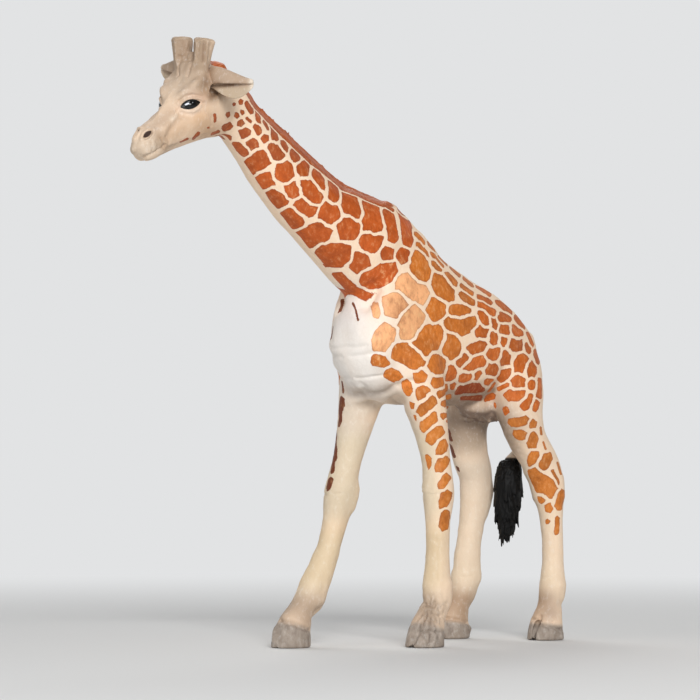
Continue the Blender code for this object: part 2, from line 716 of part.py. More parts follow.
# Legs: the trunk ends at a level seam, above the floor by the seam's height
between_legs = (FORE_SHOULDER_AFT + HIND_HIP_AFT) / 2
reach = WITHERS_HEIGHT
for name, line, side, (girths, height, girth, shoulder_aft, seam) in legs:
    near_x = between_legs if shoulder_aft > between_legs else -reach
    far_x = reach if shoulder_aft > between_legs else between_legs
    near_y, far_y = (-reach, MIDLINE) if side < 0 else (MIDLINE, reach)
    low = Vector((near_x, near_y, 0.0))
    high = Vector((far_x, far_y, seam - GLUE_GAP / 2))
    leg = moulding(name, skin, (as_cutter(block(name + "_room", low, high, cutters)),), parts)
    low.z = -reach
    high.z = seam + GLUE_GAP / 2
    boolean(torso, as_cutter(block(name + "_clearance", low, high, cutters)), "DIFFERENCE")
    toe = leg_point(line, height, shoulder_aft, side, 0.0) + FORWARDS * (value_at(girths, 0.0)[0] * girth)
    low = Vector((-OVERRUN, -CLEFT_WIDTH / 2, -OVERRUN))
    high = Vector((CLEFT_DEPTH, CLEFT_WIDTH / 2, CLEFT_HEIGHT))
    slope = Matrix.Translation(toe) @ Matrix.Rotation(HOOF_SLOPE, 4, "Y")
    boolean(leg, as_cutter(block(name + "_cleft", low, high, cutters, slope)), "DIFFERENCE")
    root = leg_point(line, height, shoulder_aft, side, seam / height)
    plug(leg, torso, root, UPWARDS, LEG_SPIGOT_RADIUS, LEG_SPIGOT_LENGTH, OVERRUN)
    paint(leg, (0.72, 0.55, 0.38), 0.5)

# Ears, ossicones and tail
for name, side, lift in (("ear_left", -1, LEFT_EAR_LIFT), ("ear_right", 1, RIGHT_EAR_LIFT)):
    leaf = ear(name, side, lift, parts)
    boolean(leaf, swollen, "DIFFERENCE")
    root = head_point(EAR_PLACE_SHARES, side)
    inward = -side * (HEAD_TURN @ Matrix.Rotation(-side * EAR_SWEEP, 4, "Z") @ SIDEWAYS)
    plug(leaf, head, root, inward, EAR_SPIGOT_RADIUS, EAR_SPIGOT_LENGTH, EAR_SPIGOT_LENGTH)
    paint(leaf, (0.62, 0.50, 0.38), 0.5)
for name, side in (("ossicone_left", -1), ("ossicone_right", 1)):
    horn = ossicone(name, side, parts)
    boolean(horn, swollen, "DIFFERENCE")
    root, lean = ossicone_line(side)
    plug(horn, head, root, -(lean @ UPWARDS), OSSICONE_SPIGOT_RADIUS, OSSICONE_SPIGOT_LENGTH, OSSICONE_LENGTH / 2)
    paint(horn, (0.60, 0.50, 0.40), 0.55)
tail = tail_form("tail", parts)
boolean(tail, swollen, "DIFFERENCE")
inward = FORWARDS - UPWARDS / 2
plug(tail, torso, tail_point(TAIL_SPIGOT_SHARE), inward, TAIL_SPIGOT_RADIUS, TAIL_SPIGOT_LENGTH, TAIL_SPIGOT_RADIUS)
paint(tail, (0.03, 0.03, 0.03), 0.35)
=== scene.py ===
import math

import bmesh
import bpy
import numpy as np
from mathutils import Matrix, Vector, noise
from mathutils.bvhtree import BVHTree


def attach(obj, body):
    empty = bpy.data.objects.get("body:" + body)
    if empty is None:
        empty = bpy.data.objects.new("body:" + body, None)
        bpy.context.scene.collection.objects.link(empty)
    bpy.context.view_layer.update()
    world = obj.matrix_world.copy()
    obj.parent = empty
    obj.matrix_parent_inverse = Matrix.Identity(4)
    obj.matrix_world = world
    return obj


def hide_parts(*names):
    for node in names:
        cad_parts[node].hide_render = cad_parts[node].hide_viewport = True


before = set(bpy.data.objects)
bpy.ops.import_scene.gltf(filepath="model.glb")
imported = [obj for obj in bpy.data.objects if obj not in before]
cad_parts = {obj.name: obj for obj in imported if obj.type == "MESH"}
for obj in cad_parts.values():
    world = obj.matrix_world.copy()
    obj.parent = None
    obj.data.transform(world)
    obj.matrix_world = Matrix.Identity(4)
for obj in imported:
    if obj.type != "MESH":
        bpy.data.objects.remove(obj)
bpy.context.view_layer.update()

# Camera. The toy is photographed from its left front, close to the floor, with a long lens. Paint marks
# further on are placed by sighting through this camera, so it comes first.
CAMERA_TURN = math.radians(44.83)
CAMERA_PITCH = math.radians(3.40)
CAMERA_DISTANCE = 0.5565
CAMERA_HEIGHT = 0.03286
LENS_PX = 2505.0
FRAME_PX = 700

camera_data = bpy.data.cameras.new("photo_camera")
camera_data.sensor_width = 36.0
camera_data.lens = camera_data.sensor_width * LENS_PX / FRAME_PX
camera_data.clip_start = 0.01
camera = bpy.data.objects.new("photo_camera", camera_data)
camera.location = (
    -CAMERA_DISTANCE * math.sin(CAMERA_TURN),
    -CAMERA_DISTANCE * math.cos(CAMERA_TURN),
    CAMERA_HEIGHT,
)
camera.rotation_euler = (math.pi / 2 + CAMERA_PITCH, 0.0, -CAMERA_TURN)
bpy.context.scene.collection.objects.link(camera)
bpy.context.scene.camera = camera
bpy.context.view_layer.update()
EYE = np.array(camera.matrix_world.translation)
RIGHT, UP, BACK = (np.array(camera.matrix_world.to_3x3().col[i]) for i in range(3))


def sight_line(px, py):
    """Direction from the camera through a place in the photograph."""
    way = RIGHT * (px - FRAME_PX / 2) - UP * (py - FRAME_PX / 2) - BACK * LENS_PX
    return way / np.linalg.norm(way)


def seen_at(points):
    """Where points come in the photograph, in its pixels."""
    way = points - EYE
    depth = -(way @ BACK)
    return np.stack(
        [FRAME_PX / 2 + LENS_PX * (way @ RIGHT) / depth, FRAME_PX / 2 - LENS_PX * (way @ UP) / depth], axis=1
    )


# Moulded skin. The body, head, horn stubs and legs are PVC mouldings glued at hidden seams and painted over,
# so one smooth skin is sculpted over all of them and parted at the seams at the end.
SKIN_NODES = (
    "torso", "neck", "head", "ossicone_left", "ossicone_right",
    "leg_front_left", "leg_front_right", "leg_hind_left", "leg_hind_right",
)
SEAM_SWELL = 0.00019
SKIN_VOXEL = 0.00030
EASE_IN = 0.5
EASE_OUT = 0.52


def joined(meshes):
    """One mesh of several, which are used up."""
    whole = bmesh.new()
    for mesh in meshes:
        whole.from_mesh(mesh)
        bpy.data.meshes.remove(mesh)
    mesh = bpy.data.meshes.new("joined")
    whole.to_mesh(mesh)
    whole.free()
    return mesh


def node_shell(names, swell):
    """Merged copies of CAD nodes in one mesh, swollen so that the glue gaps between them close."""
    parts = []
    for name in names:
        part = bmesh.new()
        part.from_mesh(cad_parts[name].data)
        bmesh.ops.remove_doubles(part, verts=part.verts, dist=1e-7)
        part.normal_update()
        for v in part.verts:
            v.co += v.normal * swell
        mesh = bpy.data.meshes.new("part")
        part.to_mesh(mesh)
        part.free()
        parts.append(mesh)
    return joined(parts)


def changed(mesh, kind, settings, inputs):
    """The plain mesh that a modifier makes of another."""
    thing = bpy.data.objects.new("changing", mesh)
    bpy.context.scene.collection.objects.link(thing)
    modifier = thing.modifiers.new("change", kind)
    for key, value in settings.items():
        setattr(modifier, key, value)
    for key, value in inputs.items():
        modifier[key] = value
    result = bpy.data.meshes.new_from_object(thing.evaluated_get(bpy.context.evaluated_depsgraph_get()))
    bpy.data.objects.remove(thing)
    return result


def rows_of(things, key, width, kind=float):
    """One value of all vertices or faces of a mesh, a row for each."""
    values = np.empty(len(things) * width, kind)
    things.foreach_get(key, values)
    return values.reshape(-1, width)


def fused(mesh, voxel):
    """Points and faces of one voxel skin over a mesh."""
    result = changed(mesh, "REMESH", {"mode": "VOXEL", "voxel_size": voxel}, {})
    points = rows_of(result.vertices, "co", 3)
    quads = rows_of(result.polygons, "vertices", 4, int)
    bpy.data.meshes.remove(result)
    return points, quads


def sides_of(quads):
    """The two ends of each side of each face."""
    return np.stack([quads, np.roll(quads, -1, axis=1)], axis=2).reshape(-1, 2)


def outer_only(points, quads):
    """Drops the small closed skins left inside, where glue gaps were."""
    sides = sides_of(quads)
    label = np.arange(len(points))
    while True:
        least = np.minimum(label[sides[:, 0]], label[sides[:, 1]])
        fresh = label.copy()
        np.minimum.at(fresh, sides[:, 0], least)
        np.minimum.at(fresh, sides[:, 1], least)
        fresh = fresh[fresh]
        if (fresh == label).all():
            break
        label = fresh
    kept = label == np.bincount(label).argmax()
    index = np.cumsum(kept) - 1
    return points[kept], index[quads[kept[quads[:, 0]]]]


class Sheet:
    """Points and faces of a skin, with the smoothing that wax tools would give it."""

    def __init__(self, points, quads):
        self.points = points
        self.quads = quads
        self.edges = np.unique(np.sort(sides_of(quads), axis=1), axis=0)
        self.degree = np.bincount(self.edges.ravel(), minlength=len(points)).astype(float)

    def around(self, rows):
        """Sum of the rows of each point's neighbours."""
        i, j = self.edges.T
        n = len(rows)
        sums = [np.bincount(i, rows[j, k], n) + np.bincount(j, rows[i, k], n) for k in range(3)]
        return np.stack(sums, axis=1)

    def pull(self):
        """Vector from each point to the middle of its neighbours."""
        return self.around(self.points) / self.degree[:, None] - self.points

    def ease(self, rounds):
        """Takes out facets without shrinking the form."""
        for _ in range(rounds):
            self.points = self.points + EASE_IN * self.pull()
            self.points = self.points - EASE_OUT * self.pull()

    def normals(self, rounds=0):
        """Outward ways of the skin, evened out over its neighbourhood for broad work."""
        a, b, c, d = (self.points[self.quads[:, i]] for i in range(4))
        face = np.repeat(np.cross(c - a, d - b), 4, axis=0)
        corners = self.quads.ravel()
        ways = np.stack([np.bincount(corners, face[:, i], len(self.points)) for i in range(3)], axis=1)
        ways = ways / (np.linalg.norm(ways, axis=1, keepdims=True) + 1e-20)
        for _ in range(rounds):
            ways = ways + self.around(ways)
            ways /= np.linalg.norm(ways, axis=1, keepdims=True)
        return ways


skin = Sheet(*outer_only(*fused(node_shell(SKIN_NODES, SEAM_SWELL), SKIN_VOXEL)))
skin.ease(45)
skin.points = skin.points - skin.normals() * SEAM_SWELL

# Mane. A low crest of coarse hair runs down the back of the neck, moulded with it: a row of short tufts
# that lean back, worked into the skin before it is smoothed again.
NECK_FOOT = np.array((0.0064, 0.0, 0.0885))
NECK_RISE = math.radians(32.9)
NECK_LENGTH = 0.0553
NECK_ALONG = np.array((-math.cos(NECK_RISE), 0.0, math.sin(NECK_RISE)))
NECK_NORMAL = np.array((math.sin(NECK_RISE), 0.0, math.cos(NECK_RISE)))
NAPE_DIP = 0.0009
NAPE_MIDDLE = 0.33
NAPE_REACH = 0.2
NAPE_HEIGHT = 0.008
MANE_START_SHARE = -0.20
MANE_END_SHARE = 1.12
MANE_STATIONS = 40
MANE_DEPTH = 0.0011
MANE_FEELER = 0.05
TUFT_COUNT = 96
TUFT_LENGTH = 0.0017
TUFT_RADIUS = 0.00060
TUFT_LEAN = 0.8
TUFT_CONE = {"Vertices": 8, "Side Segments": 3, "Radius Top": 0.0001}
TUFT_SWAY = ((-0.25, -0.35, -0.25), (0.25, 0.35, 0.25))
TUFT_SIZES = (0.75, 1.15)
TUFT_SEED = 3


def fade(away, reach, power=2):
    """1 in the middle of a mark, falling softly to 0 beyond its reach."""
    return np.exp(-((away / reach) ** power))


def plug(tree, node, values):
    """Links or sets the inputs of a node."""
    for key, value in values.items():
        if isinstance(value, bpy.types.NodeSocket):
            tree.links.new(value, node.inputs[key])
        else:
            node.inputs[key].default_value = value


def add_node(tree, kind, values, **settings):
    """A new node of a tree, with its settings and its inputs."""
    made = tree.nodes.new(kind)
    for key, value in settings.items():
        setattr(made, key, value)
    plug(tree, made, values)
    return made


def hair_tree(name, own_inputs):
    """A Geometry Nodes tree for hair with named inputs, and its input and output nodes."""
    tree = bpy.data.node_groups.new(name, "GeometryNodeTree")
    tree.interface.new_socket("Geometry", in_out="OUTPUT", socket_type="NodeSocketGeometry")
    shared = (("Length", "Float"), ("Radius", "Float"), ("Seed", "Int"), ("Paint", "Material"))
    for title, kind in (("Geometry", "Geometry"), *own_inputs, *shared):
        tree.interface.new_socket(title, in_out="INPUT", socket_type="NodeSocket" + kind)
    return tree, tree.nodes.new("NodeGroupInput"), tree.nodes.new("NodeGroupOutput")


def plant_hair(tree, given, made, points, lean, cone, sway, sizes):
    """The end of a hair tree: slim cones on the points, swayed and sized at random, as one painted mesh."""
    hair = add_node(tree, "GeometryNodeMeshCone", {
        **cone, "Radius Bottom": given.outputs["Radius"], "Depth": given.outputs["Length"],
    })
    jitter = add_node(tree, "FunctionNodeRandomValue", {
        0: sway[0], 1: sway[1], "Seed": given.outputs["Seed"],
    }, data_type="FLOAT_VECTOR")
    way = add_node(tree, "ShaderNodeVectorMath", {0: lean, 1: jitter.outputs[0]}, operation="ADD")
    turn = add_node(tree, "FunctionNodeAlignRotationToVector", {"Vector": way.outputs[0]}, axis="Z")
    size = add_node(tree, "FunctionNodeRandomValue", {
        2: sizes[0], 3: sizes[1], "Seed": given.outputs["Seed"],
    }, data_type="FLOAT")
    placed = add_node(tree, "GeometryNodeInstanceOnPoints", {
        "Points": points, "Instance": hair.outputs["Mesh"],
        "Rotation": turn.outputs[0], "Scale": size.outputs[1],
    })
    real = add_node(tree, "GeometryNodeRealizeInstances", {"Geometry": placed.outputs[0]})
    coated = add_node(tree, "GeometryNodeSetMaterial", {
        "Geometry": real.outputs[0], "Material": given.outputs["Paint"],
    })
    tree.links.new(coated.outputs[0], made.inputs[0])


def grown(mesh, tree, values):
    """The plain mesh that a Geometry Nodes tree makes of another."""
    sockets = tree.interface.items_tree
    inputs = {socket.identifier: values[socket.name] for socket in sockets if socket.name in values}
    return changed(mesh, "NODES", {"node_group": tree}, inputs)


def tuft_row():
    """Tufts set along a line of edges, each leaning back the way the line runs."""
    tree, given, made = hair_tree("tuft_row", (("Tufts", "Int"), ("Lean", "Vector")))
    line = add_node(tree, "GeometryNodeMeshToCurve", {"Mesh": given.outputs["Geometry"]})
    values = {"Curve": line.outputs[0], "Count": given.outputs["Tufts"]}
    row = add_node(tree, "GeometryNodeResampleCurve", values)
    plant_hair(tree, given, made, row.outputs[0], given.outputs["Lean"], TUFT_CONE, TUFT_SWAY, TUFT_SIZES)
    return tree


def mane_crest():
    """The line along the back of the neck, felt from above."""
    tree = BVHTree.FromPolygons(skin.points.tolist(), skin.quads.tolist())
    crest = []
    for share in np.linspace(MANE_START_SHARE, MANE_END_SHARE, MANE_STATIONS):
        above = NECK_FOOT + NECK_ALONG * NECK_LENGTH * share + NECK_NORMAL * MANE_FEELER
        hit = tree.ray_cast(Vector(above), Vector(-NECK_NORMAL))[0]
        crest.append(np.array(hit) - NECK_NORMAL * MANE_DEPTH)
    return np.array(crest)


# The nape dips a little between the head and the withers.
share = (skin.points - NECK_FOOT) @ NECK_ALONG / NECK_LENGTH
height = (skin.points - NECK_FOOT) @ NECK_NORMAL
dip = NAPE_DIP * fade(share - NAPE_MIDDLE, NAPE_REACH) * np.clip(height / NAPE_HEIGHT, 0.0, 1.0)
skin.points = skin.points - NECK_NORMAL * dip[:, None]
crest = mane_crest()
crest_mesh = bpy.data.meshes.new("mane_crest")
crest_mesh.from_pydata(crest.tolist(), [(i, i + 1) for i in range(len(crest) - 1)], [])
tufts = grown(crest_mesh, tuft_row(), {
    "Tufts": TUFT_COUNT, "Length": TUFT_LENGTH, "Radius": TUFT_RADIUS, "Seed": TUFT_SEED,
    "Lean": (NECK_NORMAL - NECK_ALONG * TUFT_LEAN).tolist(), "Paint": bpy.data.materials.new("mane_wax"),
})

# Web and udder. A web joins the two horn stubs over the brow, and a small udder closes the groin between the
# hind legs. Both are moulded with the body, so the skin is fused again over them and over the mane's tufts.
HORN_SEAM_SHARE = 0.30
WEB_RISE = 0.0018
WEB_SIZE = (0.0009, 0.0015, 0.0026)
UDDER_MIDDLE = (0.0460, 0.0, 0.0540)
UDDER_SIZE = (0.0050, 0.0044, 0.0032)


def horn_axis(name):
    """Root and direction of a horn stub, read from its CAD node."""
    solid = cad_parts[name].data
    points = np.array([v.co for v in solid.vertices])
    middle = points.mean(0)
    spread = np.linalg.svd(points - middle, full_matrices=False)[2][0]
    way = spread * np.sign(spread[2])
    along = (points - middle) @ way
    return middle + way * (along.min() * (1 - HORN_SEAM_SHARE) + along.max() * HORN_SEAM_SHARE), way


def mesh_of(name, points, quads):
    """A mesh of points and faces."""
    mesh = bpy.data.meshes.new(name)
    mesh.from_pydata(points.tolist(), [], quads.tolist())
    return mesh


HORNS = {name: horn_axis(name) for name in ("ossicone_left", "ossicone_right")}
WEB_ROOT, WEB_WAY = (sum(axis[k] for axis in HORNS.values()) / 2 for k in (0, 1))
WEB_TURN = Vector((0, 0, 1)).rotation_difference(Vector(WEB_WAY))
beads = bmesh.new()
for middle, turn, size in (
    (UDDER_MIDDLE, None, UDDER_SIZE), (WEB_ROOT + WEB_WAY * WEB_RISE, WEB_TURN, WEB_SIZE),
):
    bmesh.ops.create_icosphere(
        beads, subdivisions=4, radius=1.0, matrix=Matrix.LocRotScale(Vector(middle), turn, Vector(size))
    )
beads_mesh = bpy.data.meshes.new("web_and_udder")
beads.to_mesh(beads_mesh)
beads.free()
bare = mesh_of("bare_skin", skin.points, skin.quads)
skin = Sheet(*outer_only(*fused(joined([beads_mesh, tufts, bare]), SKIN_VOXEL)))
skin.ease(5)

# Left and right. Both sides of the toy are painted and sculpted alike, so every mark is placed once, on the
# side the photograph shows. The right legs stand in other places than the left ones: their points are
# carried across level by level. The head leans over, so it folds about its own middle.
SEAM_FRONT_LEG = 0.0505
SEAM_HIND_LEG = 0.0492
LEG_SPLIT_X = 0.031
LEG_BLEND = 0.007
LEVEL_STEP = 0.001
LEVEL_SLAB_SHARE = 0.8
HEAD_SEAM_SHARE = 0.90
HEAD_SEAM = NECK_FOOT + NECK_ALONG * NECK_LENGTH * HEAD_SEAM_SHARE
HEAD_NOD = math.radians(33.0)
HEAD_TILT = math.radians(10.0)
HEAD_TURN = np.array(Matrix.Rotation(-HEAD_NOD, 3, "Y") @ Matrix.Rotation(HEAD_TILT, 3, "X"))
HEAD_ORIGIN = NECK_FOOT + NECK_ALONG * NECK_LENGTH
HEAD_SIDE = HEAD_TURN[:, 1]
HEAD_FOLD_SHARES = (0.78, 0.95)
DEPTH_SHARE = 0.35
FORM_EVENING = 6


def ramp(values, start, end):
    """0 before start, 1 after end, and smooth between them."""
    t = np.clip((values - start) / (end - start), 0.0, 1.0)
    return t * t * (3 - 2 * t)


def at_legs(points, hind):
    """Whether points are on the hind half of the toy, or on the front half."""
    return (points[:, 0] > LEG_SPLIT_X) == hind


def at_leg(points, hind, side):
    """Whether points are on one leg's quarter of the toy, side being -1 for left and 1 for right."""
    return at_legs(points, hind) & (points[:, 1] * side > 0)


def leg_shift(hind):
    """Levels up a pair of legs, and how much farther aft the left one is than the right one at each."""
    seam = SEAM_HIND_LEG if hind else SEAM_FRONT_LEG
    levels = np.arange(LEVEL_STEP, seam, LEVEL_STEP)
    middles = []
    for side in (-1, 1):
        own = skin.points[at_leg(skin.points, hind, side)]
        slabs = [own[abs(own[:, 2] - z) < LEVEL_SLAB_SHARE * LEVEL_STEP, 0] for z in levels]
        middles.append(np.array([(slab.min() + slab.max()) / 2 for slab in slabs]))
    return levels, middles[0] - middles[1]


LEG_SHIFTS = (leg_shift(False), leg_shift(True))


def fold_left(points):
    """Each point carried to its like on the left half of the toy."""
    folded = points.copy()
    folded[:, 1] = -abs(points[:, 1])
    for hind, (levels, shifts) in enumerate(LEG_SHIFTS):
        own = at_leg(points, bool(hind), 1)
        shift = np.interp(points[own, 2], levels, shifts)
        folded[own, 0] += shift * (1 - ramp(points[own, 2], levels[-1], levels[-1] + LEG_BLEND))
    across = (points - HEAD_ORIGIN) @ HEAD_SIDE
    head = points - np.maximum(across, 0.0)[:, None] * 2 * HEAD_SIDE
    weight = ramp((points - NECK_FOOT) @ NECK_ALONG / NECK_LENGTH, *HEAD_FOLD_SHARES)[:, None]
    return folded * (1 - weight) + head * weight


def pictured(points):
    """Places in the photograph in pixels, with a share of their depth, so that far sides stay apart."""
    depth = -((points - EYE) @ BACK)
    return np.column_stack([seen_at(points), DEPTH_SHARE * LENS_PX * depth / CAMERA_DISTANCE])


def offsets(points, line):
    """Vectors to points from the nearest place on each stretch of a broken line, or on a single place."""
    line = np.asarray(line, float).reshape(-1, 3)
    for a, b in zip(line, line[1:]) if len(line) > 1 else ((line[0], line[0]),):
        run = b - a
        t = np.clip((points - a) @ run / max(run @ run, 1e-18), 0.0, 1.0)
        yield points - a - t[:, None] * run


def line_distance(points, line):
    """Distance of points to a broken line, or to a single place."""
    return np.min([np.linalg.norm(off, axis=1) for off in offsets(points, line)], axis=0)


def wobble(points, size):
    """Smooth noise from -1 to 1 at each point, with swells of the given size or three sizes."""
    return np.array([noise.noise(Vector(p)) for p in (points / size).tolist()])


class Skin:
    """A sheet with the means to find a place on it that the photograph shows, and to mark it there."""

    def __init__(self, sheet):
        self.sheet = sheet
        self.tree = BVHTree.FromPolygons(sheet.points.tolist(), sheet.quads.tolist())
        self.map = pictured(fold_left(sheet.points))
        self.view = seen_at(sheet.points)

    def place(self, px, py):
        """Place on the skin at a pixel, or the nearest to it where the pixel is just off the outline."""
        hit = self.tree.ray_cast(Vector(EYE), Vector(sight_line(px, py)))[0]
        if hit is None:
            return self.sheet.points[((self.view - (px, py)) ** 2).sum(1).argmin()]
        return np.array(hit)

    def line(self, *pixels):
        """Places along a line of pixels, as the map holds them."""
        return pictured(fold_left(np.array([self.place(x, y) for x, y in pixels])))

    def work(self, marks, side=0):
        """Tool marks, each a width in pixels, a rise in millimetres (sunk below zero) and a line of pixels.
        Side is -1 for the left half of the toy alone, 1 for the right half and 0 for both."""
        rise = np.zeros(len(self.map))
        own = self.sheet.points[:, 1] * side >= 0
        for width, height, *pixels in marks:
            line = self.line(*pixels)
            reach = 3 * width
            near = ((self.map > line.min(0) - reach) & (self.map < line.max(0) + reach)).all(1) & own
            rise[near] += height / 1000 * fade(line_distance(self.map[near], line), width)
        self.sheet.points = self.sheet.points + self.sheet.normals(FORM_EVENING) * rise[:, None]


toy = Skin(skin)

# Carving. The toy is cast from a carved master: muscles and folds on the trunk, creases at the knees and
# fetlocks, a groove round the top of each hoof and its cleft, and small teats under the belly.
BODY_MARKS = (
    (8.0, -0.35, (372, 298), (371, 330), (372, 362)), (16.0, 0.30, (405, 330)),
    (3.0, -0.50, (398, 385), (412, 381), (424, 384)), (1.8, -0.26, (344, 347), (356, 347.5), (367, 345)),
    (1.8, -0.28, (337, 377), (347, 379), (356, 378)), (2.0, -0.22, (332, 356), (341, 357)),
    (3.0, -0.60, (360, 391), (372, 395), (386, 393), (396, 386)), (2.4, -0.24, (352, 384), (366, 388)),
    (9.0, 0.75, (331, 346)), (8.0, 0.70, (335, 364)), (7.0, -1.85, (338, 292), (338, 306)),
    (11.0, 0.50, (424, 237), (433, 247)), (4.0, -0.50, (489, 402), (499, 386), (506, 362)),
    (14.0, 0.30, (512, 352)), (14.0, -0.75, (476, 284), (504, 304), (528, 330), (538, 352)),
    (10.0, -0.35, (538, 352), (543, 380)), (13.0, 0.35, (246, 182), (260, 200), (276, 218)),
    (11.0, -1.05, (260, 106), (287, 136), (317, 164), (344, 186)), (5.0, 0.60, (388, 202), (395, 207)),
    (5.0, 1.20, (214, 65), (221, 69)), (6.0, -1.60, (391, 404), (398, 401)),
    (6.0, -0.25, (385, 262), (402, 250), (410, 232)), (1.2, -0.22, (421, 494), (431, 495), (440, 494)),
    (1.0, -0.14, (422, 489), (432, 490)), (5.0, 0.22, (424, 489)), (2.2, -0.20, (437, 540), (437, 580)),
    (2.2, -0.18, (553, 535), (553, 570)), (3.0, -0.2, (325, 560), (322, 590)), (1.7, 0.7, (469, 420)),
    (1.7, 0.7, (480, 419)), (1.7, 0.7, (489, 420.5)), (3.0, -0.30, (448, 404), (456, 406), (466, 404)),
)
LEFT_MARKS = (
    (2.2, -1.10, (411, 646), (415, 636), (420, 627), (424, 620)),
    (1.6, -0.60, (422, 632), (430, 631), (440, 633)), (1.8, -0.50, (426, 604), (433, 606)),
    (1.6, -0.55, (412, 624), (418, 618), (424, 613)), (1.6, -0.50, (432, 612), (441, 616)),
    (1.5, -0.45, (430, 622), (432, 636), (430, 645)), (1.4, -0.40, (437, 624), (440, 640)),
    (6.0, 0.30, (422, 560), (421, 584)), (5.0, 0.30, (450, 584)), (3.0, -0.35, (447, 604)),
    (3.0, -0.25, (420, 600)), (1.8, -0.85, (541, 624), (552, 627), (562, 629)),
    (1.4, -0.45, (533, 619), (541, 620), (553, 622)),
    (2.0, -0.95, (533, 640), (535, 631), (538, 622), (540, 616)), (1.1, -0.20, (541, 577), (552, 577.5)),
    (5.0, 0.35, (562, 585)), (4.0, -0.35, (562, 604)), (6.0, 0.60, (526, 474), (533, 498)),
    (5.0, 0.3, (565, 478), (564, 496)),
)
RIGHT_MARKS = (
    (1.8, -0.65, (280, 620), (290, 623), (301, 627), (311, 631)),
    (2.6, 0.14, (284, 616), (293, 618), (304, 622)), (3.5, 0.35, (275, 629), (274, 640)),
    (6.0, 0.70, (321, 601)), (4.2, -1.05, (318, 611), (314, 617)), (7.0, 0.70, (360, 490), (357, 508)),
    (8.0, 0.50, (312, 556), (302, 577)), (1.8, -0.80, (446, 618), (456, 619.5), (468, 623)),
    (1.1, -0.22, (463, 577), (471, 576)), (9.0, 0.80, (492, 492), (488, 514)),
    (9.0, 0.65, (482, 532), (480, 572)), (7.0, 0.30, (480, 580)), (4.0, -0.30, (470, 606)),
    (9.0, 0.35, (456, 556), (452, 576)), (4.0, 0.60, (471, 628)),
)
toy.work(BODY_MARKS)
toy.work(LEFT_MARKS, -1)
toy.work(RIGHT_MARKS, 1)
# The top of the left front hoof is gnarled, and the whole hide has a faint relief.
RUGGED_LINE = ((432, 606), (430, 622), (426, 638))
RUGGED_REACH = 13.0
RUGGED_LEAST = 0.02
RUGGED_TOP = 0.02
RUGGED_RELIEF = 0.00055
RUGGED_SWELL = (0.0008, 0.0008, 0.0016)
HIDE_RELIEF = 0.000035
HIDE_SWELL = 0.0011


def ruggedness(points, spots):
    """How gnarled the toy is at each point, from 0 to 1."""
    return fade(line_distance(spots, toy.line(*RUGGED_LINE)), RUGGED_REACH, 4) * (points[:, 1] < 0)


rugged = ruggedness(skin.points, toy.map)
near = np.flatnonzero(rugged > RUGGED_LEAST)
swells = wobble(skin.points[near], RUGGED_SWELL)
lumps = skin.normals()[near] * (RUGGED_RELIEF * rugged[near] * swells)[:, None]
skin.points[near] += lumps
skin.points = skin.points + skin.normals() * (HIDE_RELIEF * wobble(skin.points, HIDE_SWELL))[:, None]
# The soles are flat on the floor.
skin.points[:, 2] = np.maximum(skin.points[:, 2], 0.0)
toy = Skin(skin)

# Hide patches. Orange-brown paint lies on the cream skin in patches with narrow bare lines between them.
# Each patch is a brush dab: half its width, then the pixels that the dab runs through. Where two dabs
# come near each other they stop short of the middle and leave the cream line.
PIXEL = CAMERA_DISTANCE / LENS_PX
PATCH_LINE = 1.35
PATCH_FINE_LINE = 0.95
PATCH_SPREAD = 2.2
PATCH_LEAST_SPREAD = 0.3
PATCH_SPREAD_SHARE = 0.32
PATCH_FLATS = np.radians((0.0, 66.0, 141.0, 212.0, 289.0))
PATCH_TURN = 2.4
FINE_HALF = 3.6
DAB_REACH = 40
EDGE_WOBBLES = ((0.0030, 1.2), (0.0010, 0.55))


def paint(red, green, blue):
    """A colour as a paint chart gives it, for the renderer."""
    return np.array([c / 12.92 if c <= 0.04045 else ((c + 0.055) / 1.055) ** 2.4
                     for c in (red / 255, green / 255, blue / 255)])


MANE_HALF = 2.0
MANE_RIDGE_HALF = 7.6
MANE_END_HALF = 10.8
MANE_DAB = (
    (251, 101), (264, 117), (280, 133), (296, 149), (313, 164),
    (332, 180), (350, 192), (370, 201), (386, 206), (393, 210),
)
CROWN_HALF = 5.2
CROWN_DAB = ((212, 60), (218, 64), (226, 71))
NECK_SMALL_DABS = (
    (2.3, (241, 102)), (1.5, (234, 104)), (3.0, (248, 104), (251, 110)), (1.8, (242, 112.5)),
    (2.0, (228, 115)), (2.2, (237, 115.5)), (1.2, (247, 118), (250, 121)), (2.8, (241, 123)),
    (3.0, (229, 126), (225, 128)), (2.5, (257, 112), (259, 121)), (1.5, (264, 122), (268, 129)),
    (4.5, (245, 133)), (2.5, (256, 126), (259, 132)), (3.0, (265, 138.5)), (5.2, (252, 144)),
    (3.5, (236, 146), (244, 152)), (3.2, (272, 126), (275, 138)), (2.5, (283, 143), (286, 149)),
    (3.5, (293, 153), (296, 158)), (4.5, (273, 147), (279, 155)), (1.2, (181, 142), (187, 139)),
    (1.6, (194, 138), (198, 133)), (1.6, (212, 134), (218, 132)), (2.2, (217, 137), (229, 138)),
    (1.1, (208, 127)), (1.3, (214.5, 115), (215, 121)),
)
